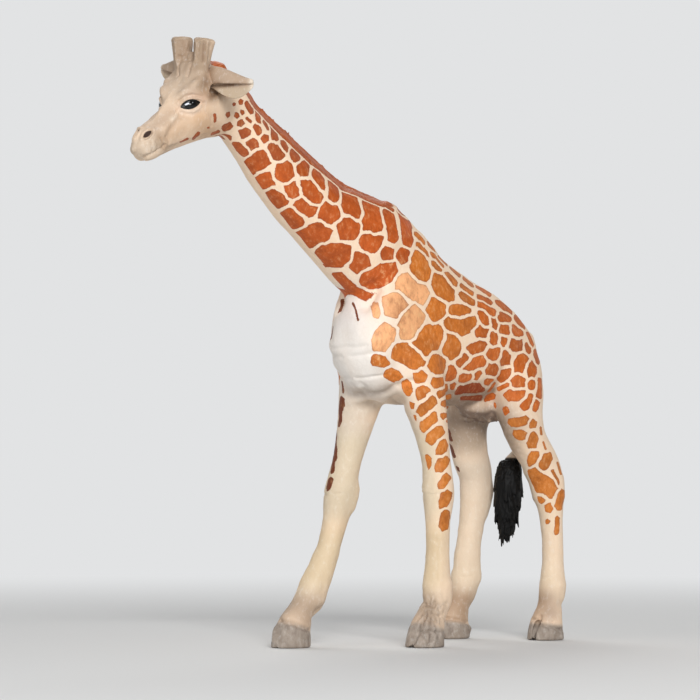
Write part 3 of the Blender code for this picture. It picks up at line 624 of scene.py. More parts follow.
NECK_DABS = (
    (7.0, (262, 159), (252, 166)), (8.0, (264, 182)), (8.5, (286, 172)), (7.0, (304, 169)),
    (4.0, (315, 172), (324, 187)), (6.0, (271, 195), (280, 202)), (7.0, (294, 190)),
    (7.0, (306, 187), (315, 196)), (6.0, (331, 187), (336, 197)), (5.5, (302, 205), (311, 210)),
    (9.5, (329, 213)), (6.5, (288, 216), (296, 223)), (8.0, (347, 200), (355, 211)),
    (9.0, (370, 210), (373, 224)), (4.5, (388, 213), (393, 237)), (5.2, (402, 214), (408, 240)),
    (9.0, (305, 237), (320, 233)), (10.0, (349, 228)), (9.0, (371, 242)), (5.5, (387, 254)),
    (6.0, (404, 256)), (10.0, (327, 255), (341, 255)), (8.5, (359, 262)), (8.0, (370, 282), (388, 272)),
    (5.5, (338, 279), (352, 291), (371, 298)),
)
SHOULDER_DABS = (
    (8.0, (405, 283), (419, 293)), (10.0, (394, 305)), (4.0, (372, 300), (376, 313)),
    (9.0, (414, 318), (409, 329)), (8.0, (378, 342), (386, 334)),
)
FLANK_DABS = (
    (8.0, (419, 259), (422, 273)), (7.5, (439, 281), (446, 294)), (9.0, (437, 309)),
    (2.0, (416, 234), (424, 243)), (2.5, (419, 245), (427, 255)), (2.0, (432, 254), (442, 266)),
    (2.5, (434, 263), (440, 270)), (2.8, (447, 275), (455, 283)), (2.2, (452, 269), (460, 276)),
    (2.0, (462, 286), (472, 293)), (2.2, (463, 278), (472, 285)), (3.0, (462, 295), (472, 302)),
    (4.5, (454, 310), (466, 311)), (6.5, (451, 324), (462, 328), (469, 322)), (7.0, (451, 340), (453, 352)),
    (11.0, (425, 341), (434, 337)), (8.0, (402, 353), (415, 360)), (4.5, (374, 360), (383, 363)),
    (4.5, (389, 374), (396, 377)), (3.5, (406, 384), (408, 392)), (5.5, (420, 377)), (6.0, (423, 393)),
    (3.0, (411, 406)), (3.0, (413, 419)), (8.5, (438, 365)), (5.5, (438, 383)),
    (3.0, (445, 388), (440, 394)), (2.5, (448, 397), (444, 404)), (2.3, (447, 408), (442, 416)),
    (1.5, (447, 421)), (1.8, (439, 257), (446, 264)), (1.8, (428, 243), (434, 250)),
)
RUMP_DABS = (
    (5.0, (473, 350), (480, 346)), (6.0, (482, 332)), (4.0, (494, 336), (494, 341)), (4.0, (504, 342)),
    (4.0, (482, 314), (486, 322)), (3.0, (493, 321), (496, 327)), (3.2, (481, 305), (493, 313)),
    (2.5, (480, 297), (490, 302)), (2.6, (478, 287), (489, 294)), (3.2, (499, 303), (509, 311)),
    (4.5, (502, 317), (507, 317)), (3.4, (517, 318), (522, 325)), (3.5, (502, 329), (508, 330)),
    (4.0, (514, 330), (519, 332)), (5.0, (513, 345), (520, 345)), (6.5, (494, 354)),
    (4.5, (505, 356), (504, 362)), (2.8, (526, 346), (529, 350)), (2.0, (528, 334), (532, 344)),
    (2.6, (535, 352), (538, 361)), (5.0, (523, 360), (519, 366)), (4.0, (532, 367), (532, 373)),
    (4.2, (532, 385)), (5.5, (518, 382)), (4.0, (506, 371), (502, 378)), (6.2, (492, 370)),
    (4.0, (466, 359), (459, 363)), (5.5, (470, 367), (479, 362)), (3.8, (469, 376), (463, 379)),
    (2.2, (479, 373), (476, 378)), (4.0, (453, 369), (450, 378)), (3.0, (453, 386)),
    (2.8, (490, 380), (485, 384)), (1.5, (494, 384), (489, 391)), (2.0, (507, 385), (499, 389)),
    (2.5, (486, 399), (493, 396)), (4.5, (511, 395), (521, 395)), (4.0, (530, 399), (525, 405)),
    (2.4, (540, 380), (539, 397)), (3.2, (497, 406), (505, 411)), (2.3, (537, 402), (535, 409)),
)
BELLY_DABS = ((5.0, (461, 390), (480, 388)), (2.5, (463, 398), (481, 398)))
LEG_DABS = (
    (3.5, (510, 424), (525, 420)), (3.5, (533, 424)), (4.2, (514, 434), (521, 435)),
    (3.8, (534, 437), (532, 444)), (1.0, (541, 428), (541, 434)), (1.0, (543, 442), (545, 448)),
    (4.0, (534, 456), (529, 462)), (4.0, (547, 457), (543, 465)), (8.0, (532, 476), (543, 486), (549, 488)),
    (4.0, (540, 500)), (3.5, (549, 508)), (2.0, (547, 522)), (1.0, (545, 532)),
    (2.0, (557, 519), (557, 532)), (3.0, (562, 493), (559, 506)), (1.2, (553, 470), (558, 484)),
    (1.2, (558, 463), (561, 474)), (5.0, (431, 401), (423, 411)), (4.0, (434, 417), (424, 427)),
    (4.0, (439, 431), (431, 439)), (4.2, (443, 444), (441, 451)), (3.0, (427, 459), (427, 465)),
    (4.5, (444, 461), (440, 467)), (3.5, (446, 478), (442, 485)), (4.5, (447, 496), (443, 503)),
    (3.5, (446, 514), (444, 526)), (1.0, (431, 498)), (1.2, (417, 433)), (1.0, (421, 447)),
)
# Behind the rump the photograph shows nothing, so these dabs are set on the toy itself, in metres.
REAR_DABS = (
    (2.6, (0.0600, -0.0030, 0.0800)), (2.6, (0.0608, -0.0032, 0.0745)), (2.6, (0.0610, -0.0034, 0.0690)),
    (2.6, (0.0605, -0.0036, 0.0635)), (2.4, (0.0600, -0.0042, 0.0580)), (2.4, (0.0592, -0.0070, 0.0535)),
    (2.0, (0.0600, -0.0075, 0.0660)), (2.0, (0.0590, -0.0080, 0.0610)),
)
# Along the top of the back, felt from above: a row that runs over to the other side.
SPINE_DABS = (
    (5.2, (0.0195, -0.0006), (0.0215, -0.0006)), (4.8, (0.0243, -0.0007), (0.0262, -0.0006)),
    (5.2, (0.0290, -0.0006), (0.0312, -0.0007)), (4.9, (0.0342, -0.0007), (0.0358, -0.0006)),
    (5.4, (0.0388, -0.0006), (0.0410, -0.0007)), (4.9, (0.0440, -0.0007), (0.0456, -0.0006)),
    (5.2, (0.0486, -0.0006), (0.0504, -0.0007)), (4.9, (0.0534, -0.0007), (0.0550, -0.0006)),
    (4.8, (0.0576, -0.0006), (0.0586, -0.0007)),
)
SPINE_FEELER = 0.2
# Where the cream shows: the chest, the belly and the fronts of the thighs.
BARE_DABS = (
    (18.0, (349, 322), (349, 350)), (9.0, (352, 306), (361, 312), (361, 358)), (14.0, (358, 376)),
    (10.0, (368, 384), (384, 394)), (5.0, (396, 396), (404, 410), (410, 428), (414, 450)),
    (8.0, (470, 414), (490, 416)), (4.5, (492, 412), (504, 426), (512, 446), (522, 464)),
    (5.0, (430, 480), (430, 520)), (4.0, (534, 520), (538, 545)),
)
# The right half turns its painted sides away: what the photograph shows of it is bare, but for small marks
# at the outline. Those marks, and a streak on the chest, go over everything else. Each starts with its side.
RIGHT_BARE_DABS = (
    (
        16.0, (225, 148), (236, 164), (246, 181), (257, 197),
        (270, 213), (284, 229), (298, 245), (313, 261), (329, 277),
    ),
    (
        10.0, (342, 296), (336, 318), (331, 345), (335, 368),
        (343, 392), (343, 408), (340, 430), (337, 460), (332, 480),
    ),
    (9.0, (327, 500), (326, 530), (305, 580)),
    (9.0, (452, 420), (455, 450), (462, 480), (466, 520), (462, 560)),
)
OVER_DABS = (
    (1, 3.0, (342, 398), (340, 412), (339, 424)), (1, 4.6, (336, 434), (335, 448), (334, 458)),
    (1, 3.0, (333, 464), (332, 471)), (1, 3.4, (330, 480), (328, 488)), (1, 3.4, (449, 432), (450, 438)),
    (1, 3.8, (451, 447), (453, 454)), (1, 2.0, (457, 467), (458, 470)), (1, 1.3, (342, 300), (339, 312)),
    (1, 2.2, (333, 328), (331, 338)), (1, 1.5, (342, 382), (343, 392)),
    (-1, 1.2, (353, 303), (356, 312), (358.5, 320)),
)
OVER_PAINT = paint(112, 58, 34)
PATCH_PAINTS = (
    (BARE_DABS, None),
    (NECK_SMALL_DABS, paint(180, 88, 42)),
    (NECK_DABS, paint(198, 92, 32)),
    (SHOULDER_DABS, paint(244, 178, 126)),
    (FLANK_DABS, paint(214, 122, 46)),
    (RUMP_DABS, paint(206, 106, 38)),
    (BELLY_DABS, paint(160, 66, 16)),
    (LEG_DABS, paint(211, 126, 52)),
)
REAR_PAINT = paint(190, 102, 48)
MANE_PAINT = paint(186, 86, 28)
MANE_LINE = 1.4
THROAT_HALF = 2.0
THROAT_WAVE = (1.8, 0.0022)
THROAT_TURN = -0.2
THROAT_DROP = 0.004
OVER_EDGE = -0.6
PATCH_TONE_SPREAD = 0.10
CREAM = paint(249, 221, 192)
# Legs are bare on their inner sides and the trunk below: how far the skin turns that way, and between what
# heights.
INNER_TURN = (-0.12, 0.22)
INNER_LEG_TOP = (0.056, 0.060)
BELLY_TURN = (0.84, 0.95)
BELLY_FOOT = (0.045, 0.050)
BELLY_TOP = (0.064, 0.070)
BARE_DEPTH = 12
# No mark's distance counts beyond this many pixels, and no dab's beyond the second number.
FAR = 9.0
DAB_FAR = 60.0
DOWN = Vector((0, 0, -1))


def patch_dabs():
    """Every dab as its half width, its line on the map, its paint and its kind."""
    dabs = []
    pick = np.random.default_rng(5)
    for table, colour in PATCH_PAINTS:
        for half, *pixels in table:
            tone = CREAM if colour is None else colour * (1 + PATCH_TONE_SPREAD * pick.uniform(-1, 1))
            dabs.append((half, toy.line(*pixels), tone, "bare" if colour is None else "patch"))
    for half, *places in REAR_DABS:
        found = [np.array(toy.tree.find_nearest(Vector(place))[0]) for place in places]
        dabs.append((half, pictured(np.array(found)), REAR_PAINT, "patch"))
    for half, *places in SPINE_DABS:
        found = [np.array(toy.tree.ray_cast(Vector((x, y, SPINE_FEELER)), DOWN)[0]) for x, y in places]
        dabs.append((half, pictured(np.array(found)), REAR_PAINT, "patch"))
    return dabs


DABS = patch_dabs()
MANE_LINES = (
    (MANE_RIDGE_HALF, pictured(fold_left(crest[:-4]))),
    (MANE_END_HALF, pictured(fold_left(crest[4:15]))),
    (CROWN_HALF, pictured(fold_left(crest[-5:-2]))),
    (MANE_HALF, toy.line(*MANE_DAB)),
    (CROWN_HALF, toy.line(*CROWN_DAB)),
)
RIGHT_BARE_LINES = [(half, toy.line(*pixels)) for half, *pixels in RIGHT_BARE_DABS]
OVER_LINES = [(side, half, toy.line(*pixels)) for side, half, *pixels in OVER_DABS]


def dab_distance(points, line, turn):
    """Distance to the middle of a dab, measured square to five flats so that its outline has corners."""
    ways = np.stack([np.cos(PATCH_FLATS + turn), np.sin(PATCH_FLATS + turn)])
    return np.min([np.hypot((off[:, :2] @ ways).max(1), off[:, 2]) for off in offsets(points, line)], axis=0)


def nearest_dab(spots):
    """How far places on the map are out of the nearest dab and out of the next, and which is nearest."""
    first = np.full(len(spots), DAB_FAR)
    second = first.copy()
    owner = np.zeros(len(spots), int)
    for index, (half, line, _, kind) in enumerate(DABS):
        near = np.flatnonzero(((spots > line.min(0) - DAB_REACH) & (spots < line.max(0) + DAB_REACH)).all(1))
        if not len(near):
            continue
        if kind == "patch":
            gap = dab_distance(spots[near], line, index * PATCH_TURN) - half
        else:
            gap = line_distance(spots[near], line) - half
        closer = gap < first[near]
        second[near] = np.where(closer, first[near], np.minimum(second[near], gap))
        first[near] = np.where(closer, gap, first[near])
        owner[near[closer]] = index
    return first, second, owner


def patched(points, normals):
    """How far points of the skin are inside a patch, in metres, the paint there, and how far inside mane."""
    folded = fold_left(points)
    spots = pictured(folded)
    for size, reach in EDGE_WOBBLES:
        spots[:, 0] += reach * wobble(folded, size)
        spots[:, 1] += reach * wobble(folded[:, ::-1], size)
    first, second, owner = nearest_dab(spots)
    halves, tones, kinds = (np.array([dab[k] for dab in DABS])[owner] for k in (0, 2, 3))
    lines = np.where(halves < FINE_HALF, PATCH_FINE_LINE, PATCH_LINE)
    spread = np.clip(halves * PATCH_SPREAD_SHARE, PATCH_LEAST_SPREAD, PATCH_SPREAD)
    inside = np.minimum((second - first) / 2 - lines, spread - first)
    inside = np.where(kinds == "bare", -abs(inside) - 1, inside)
    level = points[:, 2]
    outward = normals[:, 1] * np.sign(points[:, 1])
    inner = ramp(-outward, *INNER_TURN) * (1 - ramp(level, *INNER_LEG_TOP))
    under = ramp(-normals[:, 2], *BELLY_TURN) * ramp(level, *BELLY_FOOT) * (1 - ramp(level, *BELLY_TOP))
    inside -= BARE_DEPTH * np.maximum(inner, under)
    throat = (normals @ NECK_NORMAL < THROAT_TURN) & (level > NECK_FOOT[2] - THROAT_DROP)
    away = abs(points[:, 1]) / PIXEL + THROAT_WAVE[0] * wobble(points, THROAT_WAVE[1])
    inside = np.where(throat, np.minimum(inside, away - THROAT_HALF), inside)
    right = points[:, 1] > 0
    for half, line in RIGHT_BARE_LINES:
        inside = np.where(right, np.minimum(inside, line_distance(spots, line) - half), inside)
    mane = np.max([half - line_distance(spots, line) for half, line in MANE_LINES], axis=0)
    inside = np.minimum(inside, -mane - MANE_LINE)
    for side, half, line in OVER_LINES:
        over = np.where(points[:, 1] * side > 0, half - line_distance(spots, line), -FAR)
        tones = np.where((over > OVER_EDGE)[:, None], OVER_PAINT, tones)
        inside = np.where(over > OVER_EDGE, np.maximum(inside, over), inside)
    painted = np.where(mane > -MANE_LINE / 2, mane, inside)
    tones = np.where((mane > -MANE_LINE / 2)[:, None], MANE_PAINT, tones)
    return np.clip(painted, -FAR, FAR) * PIXEL, tones, np.clip(mane, -FAR, FAR) * PIXEL


# Coats under the patches. The bare plastic is cream; a sprayed taupe lies on the horns and brow, a warm tan
# on the cheeks and a grey-brown on the pasterns and hooves. Some sprays are painted shade in creases,
# hollows and under the belly, and one is a painted highlight on the cheekbone. Each spray is a soft line of
# colour.
BODY_SPRAYS_AND_SHADE = (
    (40.0, 0.85, paint(238, 235, 231), (350, 330), (365, 380)),
    (14.0, 0.50, paint(220, 212, 210), (348, 300), (345, 315)),
    # Painted shade: the next five sprays darken the crease of the armpit, the underside of the belly and the
    # udder, and the inner top of the right hind leg.
    (7.0, 0.60, paint(150, 132, 116), (366, 392), (378, 392), (388, 388)),
    (26.0, 0.55, paint(196, 178, 160), (455, 412), (500, 412)),
    (16.0, 0.80, paint(138, 120, 106), (462, 424), (484, 430)),
    (12.0, 0.60, paint(156, 138, 120), (464, 442), (474, 446)),
    (8.0, 0.60, paint(150, 130, 114), (466, 411), (488, 412)),
    (20.0, 0.50, paint(222, 196, 158), (338, 500), (330, 540)),
    (14.0, 0.85, paint(208, 194, 176), (352, 408), (345, 440)),
    (16.0, 0.85, paint(220, 206, 178), (342, 450), (334, 500)),
    (14.0, 0.80, paint(234, 216, 186), (322, 550), (302, 596)),
    (14.0, 0.70, paint(216, 198, 172), (424, 450), (424, 510)),
    (14.0, 0.85, paint(216, 193, 158), (434, 540), (432, 575)),
    (18.0, 0.85, paint(230, 213, 192), (472, 470), (464, 580)),
    (14.0, 0.70, paint(236, 213, 184), (548, 500), (550, 590)),
    (14.0, 0.35, paint(236, 214, 182), (546, 575), (546, 590)),
    (12.0, 0.80, paint(196, 170, 146), (305, 602), (306, 619)),
    (14.0, 0.85, paint(158, 138, 120), (430, 608), (428, 624)),
    (11.0, 0.80, paint(180, 156, 136), (548, 600), (549, 612)),
    (11.0, 0.85, paint(170, 140, 114), (462, 600), (463, 616)),
)
# Painted highlight: wrinkle ridges in the brown patches are painted pale gold, most of all on the shoulder.
SHOULDER_HIGHLIGHT_LINE = ((398, 288), (404, 320), (384, 340))
SHOULDER_HIGHLIGHT_REACH = 26.0
RIDGE_HIGHLIGHT_LEAST = 0.26
RIDGE_HIGHLIGHT_MOST = 0.75
# Painted shade under the belly: how far the skin turns down there, and from where to where it lies.
UNDER_SHADE_PAINT = paint(112, 90, 78)
UNDER_STRENGTH = 0.75
UNDER_TURN = (0.35, 0.80)
UNDER_FOOT = (0.040, 0.046)
UNDER_TOP = (0.062, 0.070)
UNDER_START = (0.012, 0.020)
HOOF_PAINT = paint(160, 147, 135)
# Where each hoof has its middle, how high it reaches there and how fast its top falls toward the heel.
HOOVES = {
    "leg_front_left": (0.0138, 0.0045, 0.30),
    "leg_front_right": (-0.0083, 0.0045, 0.32),
    "leg_hind_left": (0.0548, 0.0034, 0.13),
    "leg_hind_right": (0.0440, 0.0036, 0.14),
}
HOOF_EDGE = (-0.0006, 0.0009)
FACE_SPRAYS_SHADE_AND_HIGHLIGHT = (
    (24.0, 0.95, paint(194, 172, 150), (188, 70), (190, 96)),
    # Painted shade in the groove behind the eye.
    (7.0, 0.55, paint(150, 122, 98), (205, 78), (206, 90)),
    (9.0, 0.50, paint(206, 184, 160), (166, 104), (154, 120)),
    (16.0, 0.85, paint(208, 172, 138), (200, 118), (208, 132)),
    (12.0, 0.70, paint(208, 174, 142), (180, 128), (168, 140)),
    (12.0, 0.90, paint(202, 176, 152), (168, 116), (152, 130)),
    (13.0, 0.90, paint(174, 151, 130), (178, 40), (180, 62)),
    (13.0, 0.90, paint(166, 143, 120), (202, 40), (200, 62)),
    # Painted shade in the grooves of the two horn stubs.
    (2.2, 0.60, paint(140, 114, 92), (204, 44), (203, 60)),
    (2.2, 0.45, paint(150, 124, 102), (184, 42), (184, 58)),
    (14.0, 0.95, paint(200, 180, 158), (142, 150), (160, 146)),
    # Painted shade in the groove between the muzzle and the cheek.
    (5.0, 0.50, paint(168, 136, 106), (160, 138), (164, 147)),
    # Painted shadow beside the root of the ear.
    (8.0, 0.75, paint(138, 110, 86), (208, 84), (215, 93)),
    (9.0, 0.90, paint(186, 163, 141), (214, 66), (222, 74)),
    # Painted shade along the cheekbone crest, under the ear and in the ear's hole.
    (8.0, 0.45, paint(196, 164, 134), (178, 113), (168, 138)),
    (6.5, 0.60, paint(170, 140, 110), (206, 94), (222, 94)),
    (4.5, 0.75, paint(112, 84, 60), (211, 96), (219, 92)),
    (7.0, 0.35, paint(224, 184, 160), (193, 97), (202, 99)),
    # Painted highlight on the cheekbone.
    (3.0, 0.50, paint(242, 226, 206), (176, 115), (172, 119)),
    (3.5, 0.60, paint(238, 216, 196), (180, 109), (190, 113), (199, 108)),
)
EYE_MIDDLE = np.array((190.4, 104.6))
EYE_SLANT = math.radians(-14.0)
EYE_LENGTH = 10.4
EYE_RISE = 5.2
EYE_DROP = 4.5
NOSTRIL_MIDDLE = np.array((147.3, 134.2))
NOSTRIL_SLANT = math.radians(-38.0)
NOSTRIL_LENGTH = 5.2
NOSTRIL_HALF = 2.5
EYE_GLINTS = ((0.9, (185.6, 104.6), (188.4, 103.4)), (0.55, (192.6, 102.6)))


def almond(spots, middle, slant, length, rise, drop):
    """Signed distance in pixels into a pointed oval of the map."""
    x, y = spots[:, 0] - middle[0], spots[:, 1] - middle[1]
    along = x * math.cos(slant) + y * math.sin(slant)
    across = y * math.cos(slant) - x * math.sin(slant)
    bow = np.clip(1 - (along / length) ** 2, 0, None) ** 0.85
    edge = np.where(across < 0, rise, drop) * bow - abs(across)
    return np.where(abs(along) < length, edge, -np.maximum(abs(across), abs(along) - length))


def covered(coat, share, colour):
    """A coat with a share of another colour laid over it at each point."""
    return coat * (1 - share[:, None]) + colour * share[:, None]


def sprayed_and_shaded(spots, coat, sprays_and_shade, surface):
    """A coat with sprays and painted shade and highlight laid over it: each a reach in pixels, a strength, a
    colour and a line of pixels.
    """
    for reach, strength, colour, *pixels in sprays_and_shade:
        share = strength * fade(line_distance(spots, surface.line(*pixels)), reach)
        coat = covered(coat, share, colour)
    return coat


# Painted finish. Matt acrylic paint on soft PVC: the moulded hide has fine wrinkles, with a painted
# highlight that leaves their ridges paler and more golden than the paint beside them, and painted shade in
# their creases.


class Coat:
    """The node tree of one painted finish."""

    def __init__(self, name):
        self.material = bpy.data.materials.new(name)
        self.material.use_nodes = True
        self.tree = self.material.node_tree
        self.shader = self.tree.nodes["Principled BSDF"]

    def node(self, kind, values, output=0, **settings):
        """One output of a new node, as a number or colour of this finish."""
        return Shade(self, add_node(self.tree, kind, sockets(values), **settings).outputs[output])

    def read(self, name, colour=False):
        """What the points of the piece hold under a name."""
        return self.node("ShaderNodeAttribute", {}, "Color" if colour else "Fac", attribute_name=name)

    def spot(self, stretch):
        """Place on the piece, stretched."""
        spot = self.node("ShaderNodeTexCoord", {}, "Object")
        return self.node("ShaderNodeMapping", {"Vector": spot, "Scale": stretch})

    def grain(self, scale, detail=3.0, stretch=(1, 1, 1), roughness=0.5):
        """Noise from 0 to 1 on the piece's own place, with a scale in swells for each metre."""
        return self.node("ShaderNodeTexNoise", {
            "Vector": self.spot(stretch), "Scale": scale, "Detail": detail, "Roughness": roughness,
        })

    def creases(self, scale, stretch=(1, 1, 1)):
        """Distance to the nearest wrinkle of a leathery hide, 0 in the wrinkle."""
        spot = self.spot(stretch)
        values = {"Vector": spot, "Scale": scale * 0.8, "Detail": 2.0}
        drift = self.node("ShaderNodeTexNoise", values, "Color")
        spot = self.node("ShaderNodeMix", {4: spot, 5: drift, "Factor": 0.0012}, 1, data_type="VECTOR")
        values = {"Vector": spot, "Scale": scale}
        return self.node("ShaderNodeTexVoronoi", values, feature="DISTANCE_TO_EDGE")

    def mix(self, share, first, second, blend="MIX"):
        """Colour between two others."""
        first, second = (c if isinstance(c, Shade) else (*c, 1.0) for c in (first, second))
        values = {"Factor": share, 6: first, 7: second}
        return self.node("ShaderNodeMix", values, 2, data_type="RGBA", blend_type=blend)

    def finish(self, values):
        """Links or sets the shader's own sockets, and hands over the material."""
        plug(self.tree, self.shader, sockets(values))
        return self.material


class Shade:
    """One number or colour of a finish; sums on it add the nodes that work them out."""

    def __init__(self, coat, socket):
        self.coat = coat
        self.socket = socket

    def math(self, operation, first, second):
        """A sum with this number in it."""
        return self.coat.node("ShaderNodeMath", {0: first, 1: second}, operation=operation)

    def __add__(self, other):
        return self.math("ADD", self, other)

    __radd__ = __add__

    def __sub__(self, other):
        return self.math("SUBTRACT", self, other)

    def __rsub__(self, other):
        return self.math("SUBTRACT", other, self)

    def __mul__(self, other):
        return self.math("MULTIPLY", self, other)

    def most(self, other):
        """The larger of two numbers."""
        return self.math("MAXIMUM", self, other)

    def rise(self, start, end):
        """0 below start and 1 above end, smooth between."""
        values = {"Value": self, "From Min": start, "From Max": end, "To Min": 0.0, "To Max": 1.0}
        return self.coat.node("ShaderNodeMapRange", values, interpolation_type="SMOOTHSTEP")


def sockets(values):
    """Numbers and colours of a finish as the node sockets that give them."""
    return {key: value.socket if isinstance(value, Shade) else value for key, value in values.items()}


PAINT_EDGE = 0.00006
EDGE_GRAIN = 0.00022
EYE_BLACK = paint(8, 7, 7)
EYE_GLINT_WHITE = paint(228, 232, 240)
NOSTRIL_BROWN = paint(62, 44, 38)
WRINKLE_HIGHLIGHT_GOLD = paint(248, 204, 146)
PATCH_DARK = paint(120, 52, 18)


def painted_finish(name, wrinkle_scale, wrinkle_depth):
    """The finish of one moulding: cream and sprayed coats, painted shade and highlights, patches, mane, eyes
    and nostrils.
    """
    coat = Coat(name)
    base = coat.read("coat", colour=True)
    tone = coat.read("patch_tone", colour=True)
    fine = coat.grain(2600.0, 2.0)
    blotch = coat.grain(260.0, 4.0)
    streaks = coat.grain(wrinkle_scale, 5.0, (1.0, 1.0, 0.62), 0.64)
    creases = coat.creases(wrinkle_scale * 0.9, (1.0, 1.0, 0.6))
    patch = (coat.read("patch") + (fine - 0.5) * EDGE_GRAIN).rise(-PAINT_EDGE, PAINT_EDGE)
    mane = (coat.read("mane") + (fine - 0.5) * EDGE_GRAIN).rise(-PAINT_EDGE, PAINT_EDGE)
    hoof = coat.read("hoof")
    ridge = streaks.rise(0.50, 0.74)
    hide = coat.mix(blotch.rise(0.35, 0.75) * 0.35, base, (0.93, 0.89, 0.85), "MULTIPLY")
    # Painted shade in the creases of the cream hide, and a painted highlight on the ridges of its wrinkles.
    hide = coat.mix((1 - creases.rise(0.0, 0.10)) * 0.05, hide, (0.55, 0.42, 0.32), "MULTIPLY")
    hide = coat.mix(ridge * 0.20, hide, (1.0, 0.98, 0.94))
    brown = coat.mix((1 - blotch.rise(0.30, 0.60)) * 0.30, tone, PATCH_DARK)
    # Painted shade in the troughs of the wrinkles in the patches, and a painted highlight on their ridges,
    # strongest on the shoulder.
    brown = coat.mix((1 - streaks.rise(0.32, 0.52)) * 0.30, brown, PATCH_DARK)
    brown = coat.mix(ridge * coat.read("ridge_highlight"), brown, WRINKLE_HIGHLIGHT_GOLD)
    rim = 1 - (coat.read("patch") + (fine - 0.5) * EDGE_GRAIN * 2).rise(0.0, 0.00032)
    brown = coat.mix(rim * 0.35, brown, PATCH_DARK)
    colour = coat.mix(patch, hide, brown)
    hair = coat.grain(2400.0, 3.0, (1.0, 1.0, 0.25))
    # Painted highlight on the raised strands of the mane, and painted shade between them.
    colour = coat.mix(mane * hair.rise(0.45, 0.70) * 0.35, colour, paint(204, 120, 60))
    colour = coat.mix(mane * (1 - hair.rise(0.30, 0.50)) * 0.30, colour, PATCH_DARK)
    horn = coat.grain(900.0, 5.0, (1.0, 1.0, 0.45), 0.6)
    # Painted highlight on the raised grain of the hooves, and painted shade in its hollows.
    colour = coat.mix(hoof * horn.rise(0.50, 0.72) * 0.40, colour, paint(206, 194, 182))
    colour = coat.mix(hoof * (1 - horn.rise(0.32, 0.50)) * 0.45, colour, paint(104, 88, 78))
    nostril = coat.read("nostril").rise(-0.00016, 0.00012)
    colour = coat.mix(nostril, colour, NOSTRIL_BROWN)
    eye = coat.read("eye").rise(-0.00004, 0.00004)
    glint = coat.read("glint").rise(-0.00003, 0.00005)
    colour = coat.mix(eye, colour, EYE_BLACK)
    colour = coat.mix(glint, colour, EYE_GLINT_WHITE)
    relief = streaks * 0.55 + creases.rise(0.0, 0.16) * 0.15 + fine * 0.10
    relief = relief + mane * hair * 0.8 + hoof * horn * 2.2
    values = {"Height": relief * (1 - eye), "Distance": wrinkle_depth, "Strength": 0.75}
    bump = coat.node("ShaderNodeBump", values, "Normal")
    rough = 0.50 + blotch * 0.12 - patch * 0.08
    rough = rough * (1 - eye) + eye * 0.16
    return coat.finish({
        "Base Color": colour,
        "Roughness": rough,
        "Normal": bump,
        "Specular IOR Level": 0.30,
        "Coat Weight": eye * 0.25,
        "Coat Roughness": 0.08,
    })


BODY_FINISH = painted_finish("painted_hide", 1150.0, 0.00014)
LEG_FINISH = painted_finish("painted_leg", 1250.0, 0.00010)
FACE_FINISH = painted_finish("painted_face", 1500.0, 0.00009)

# Face. The head is cast with the finest relief of the toy: lids, brows, lips, nostrils and the folds between
# them. Its part of the skin is split finer for that, and narrowed above, where the muzzle and brow are
# slimmer than the jaw: by how much, and between which places ahead of the head's root and above its middle.
HEAD_MARGIN = 0.0012
HEAD_NARROW = 0.24
NARROW_START = (0.005, 0.011)
NARROW_END = (0.020, 0.0245)
NARROW_RISE = (0.0005, 0.0045)


def finer(points, quads):
    """Splits every face of a sheet in four."""
    edges, index = np.unique(np.sort(sides_of(quads), axis=1), axis=0, return_inverse=True)
    index = index.reshape(-1, 4) + len(points)
    middle = np.arange(len(quads)) + len(points) + len(edges)
    everything = np.vstack([points, points[edges].mean(1), points[quads].mean(1)])
    corners = [np.column_stack([quads[:, k], index[:, k], middle, index[:, k - 1]]) for k in range(4)]
    return everything, np.vstack(corners)


def only(points, quads, kept):
    """The faces of a sheet whose corners are all kept."""
    quads = quads[kept[quads].all(1)]
    used = np.unique(quads)
    index = np.zeros(len(points), int)
    index[used] = np.arange(len(used))
    return points[used], index[quads]


def beyond(points, place, way):
    """How far points are past a place, the way given."""
    return (points - place) @ way


neck_end = beyond(skin.points, HEAD_SEAM, NECK_ALONG) > -HEAD_MARGIN
head_sheet = Sheet(*finer(*only(skin.points, skin.quads, neck_end)))
head_sheet.ease(8)
own = (head_sheet.points - HEAD_ORIGIN) @ HEAD_TURN
narrow = HEAD_NARROW * ramp(-own[:, 0], *NARROW_START) * (1 - ramp(-own[:, 0], *NARROW_END))
own[:, 1] *= 1 - narrow * ramp(own[:, 2], *NARROW_RISE)
head_sheet.points = HEAD_ORIGIN + own @ HEAD_TURN.T
face = Skin(head_sheet)
FACE_FORM_MARKS = (
    (9.0, -0.95, (160, 100), (150, 116)), (7.0, -0.45, (142, 127)),
    (4.5, 0.55, (177, 98), (187, 93.5), (198, 94), (206, 99)),
    (4.5, -0.50, (181, 113), (190, 116.5), (200, 113)), (4.0, -0.45, (180, 116), (173, 126), (168, 138)),
    (13.0, 0.45, (196, 126), (206, 122)), (6.0, -0.35, (209, 76), (208, 86), (204, 94)),
    (6.0, 0.25, (190, 66), (187, 78), (183, 90)), (6.0, -0.15, (179, 72), (176, 86)),
    (5.0, 0.85, (168, 76), (164, 88), (163, 95)), (4.0, 0.45, (168, 82)), (4.0, -0.25, (216, 93), (219, 95)),
    (6.0, 0.35, (140, 148), (148, 153)), (3.5, 0.40, (177, 115), (172, 121), (166, 128)),
    (4.0, -0.35, (161, 136), (162, 146)), (6.0, 0.25, (152, 128), (160, 126)),
)
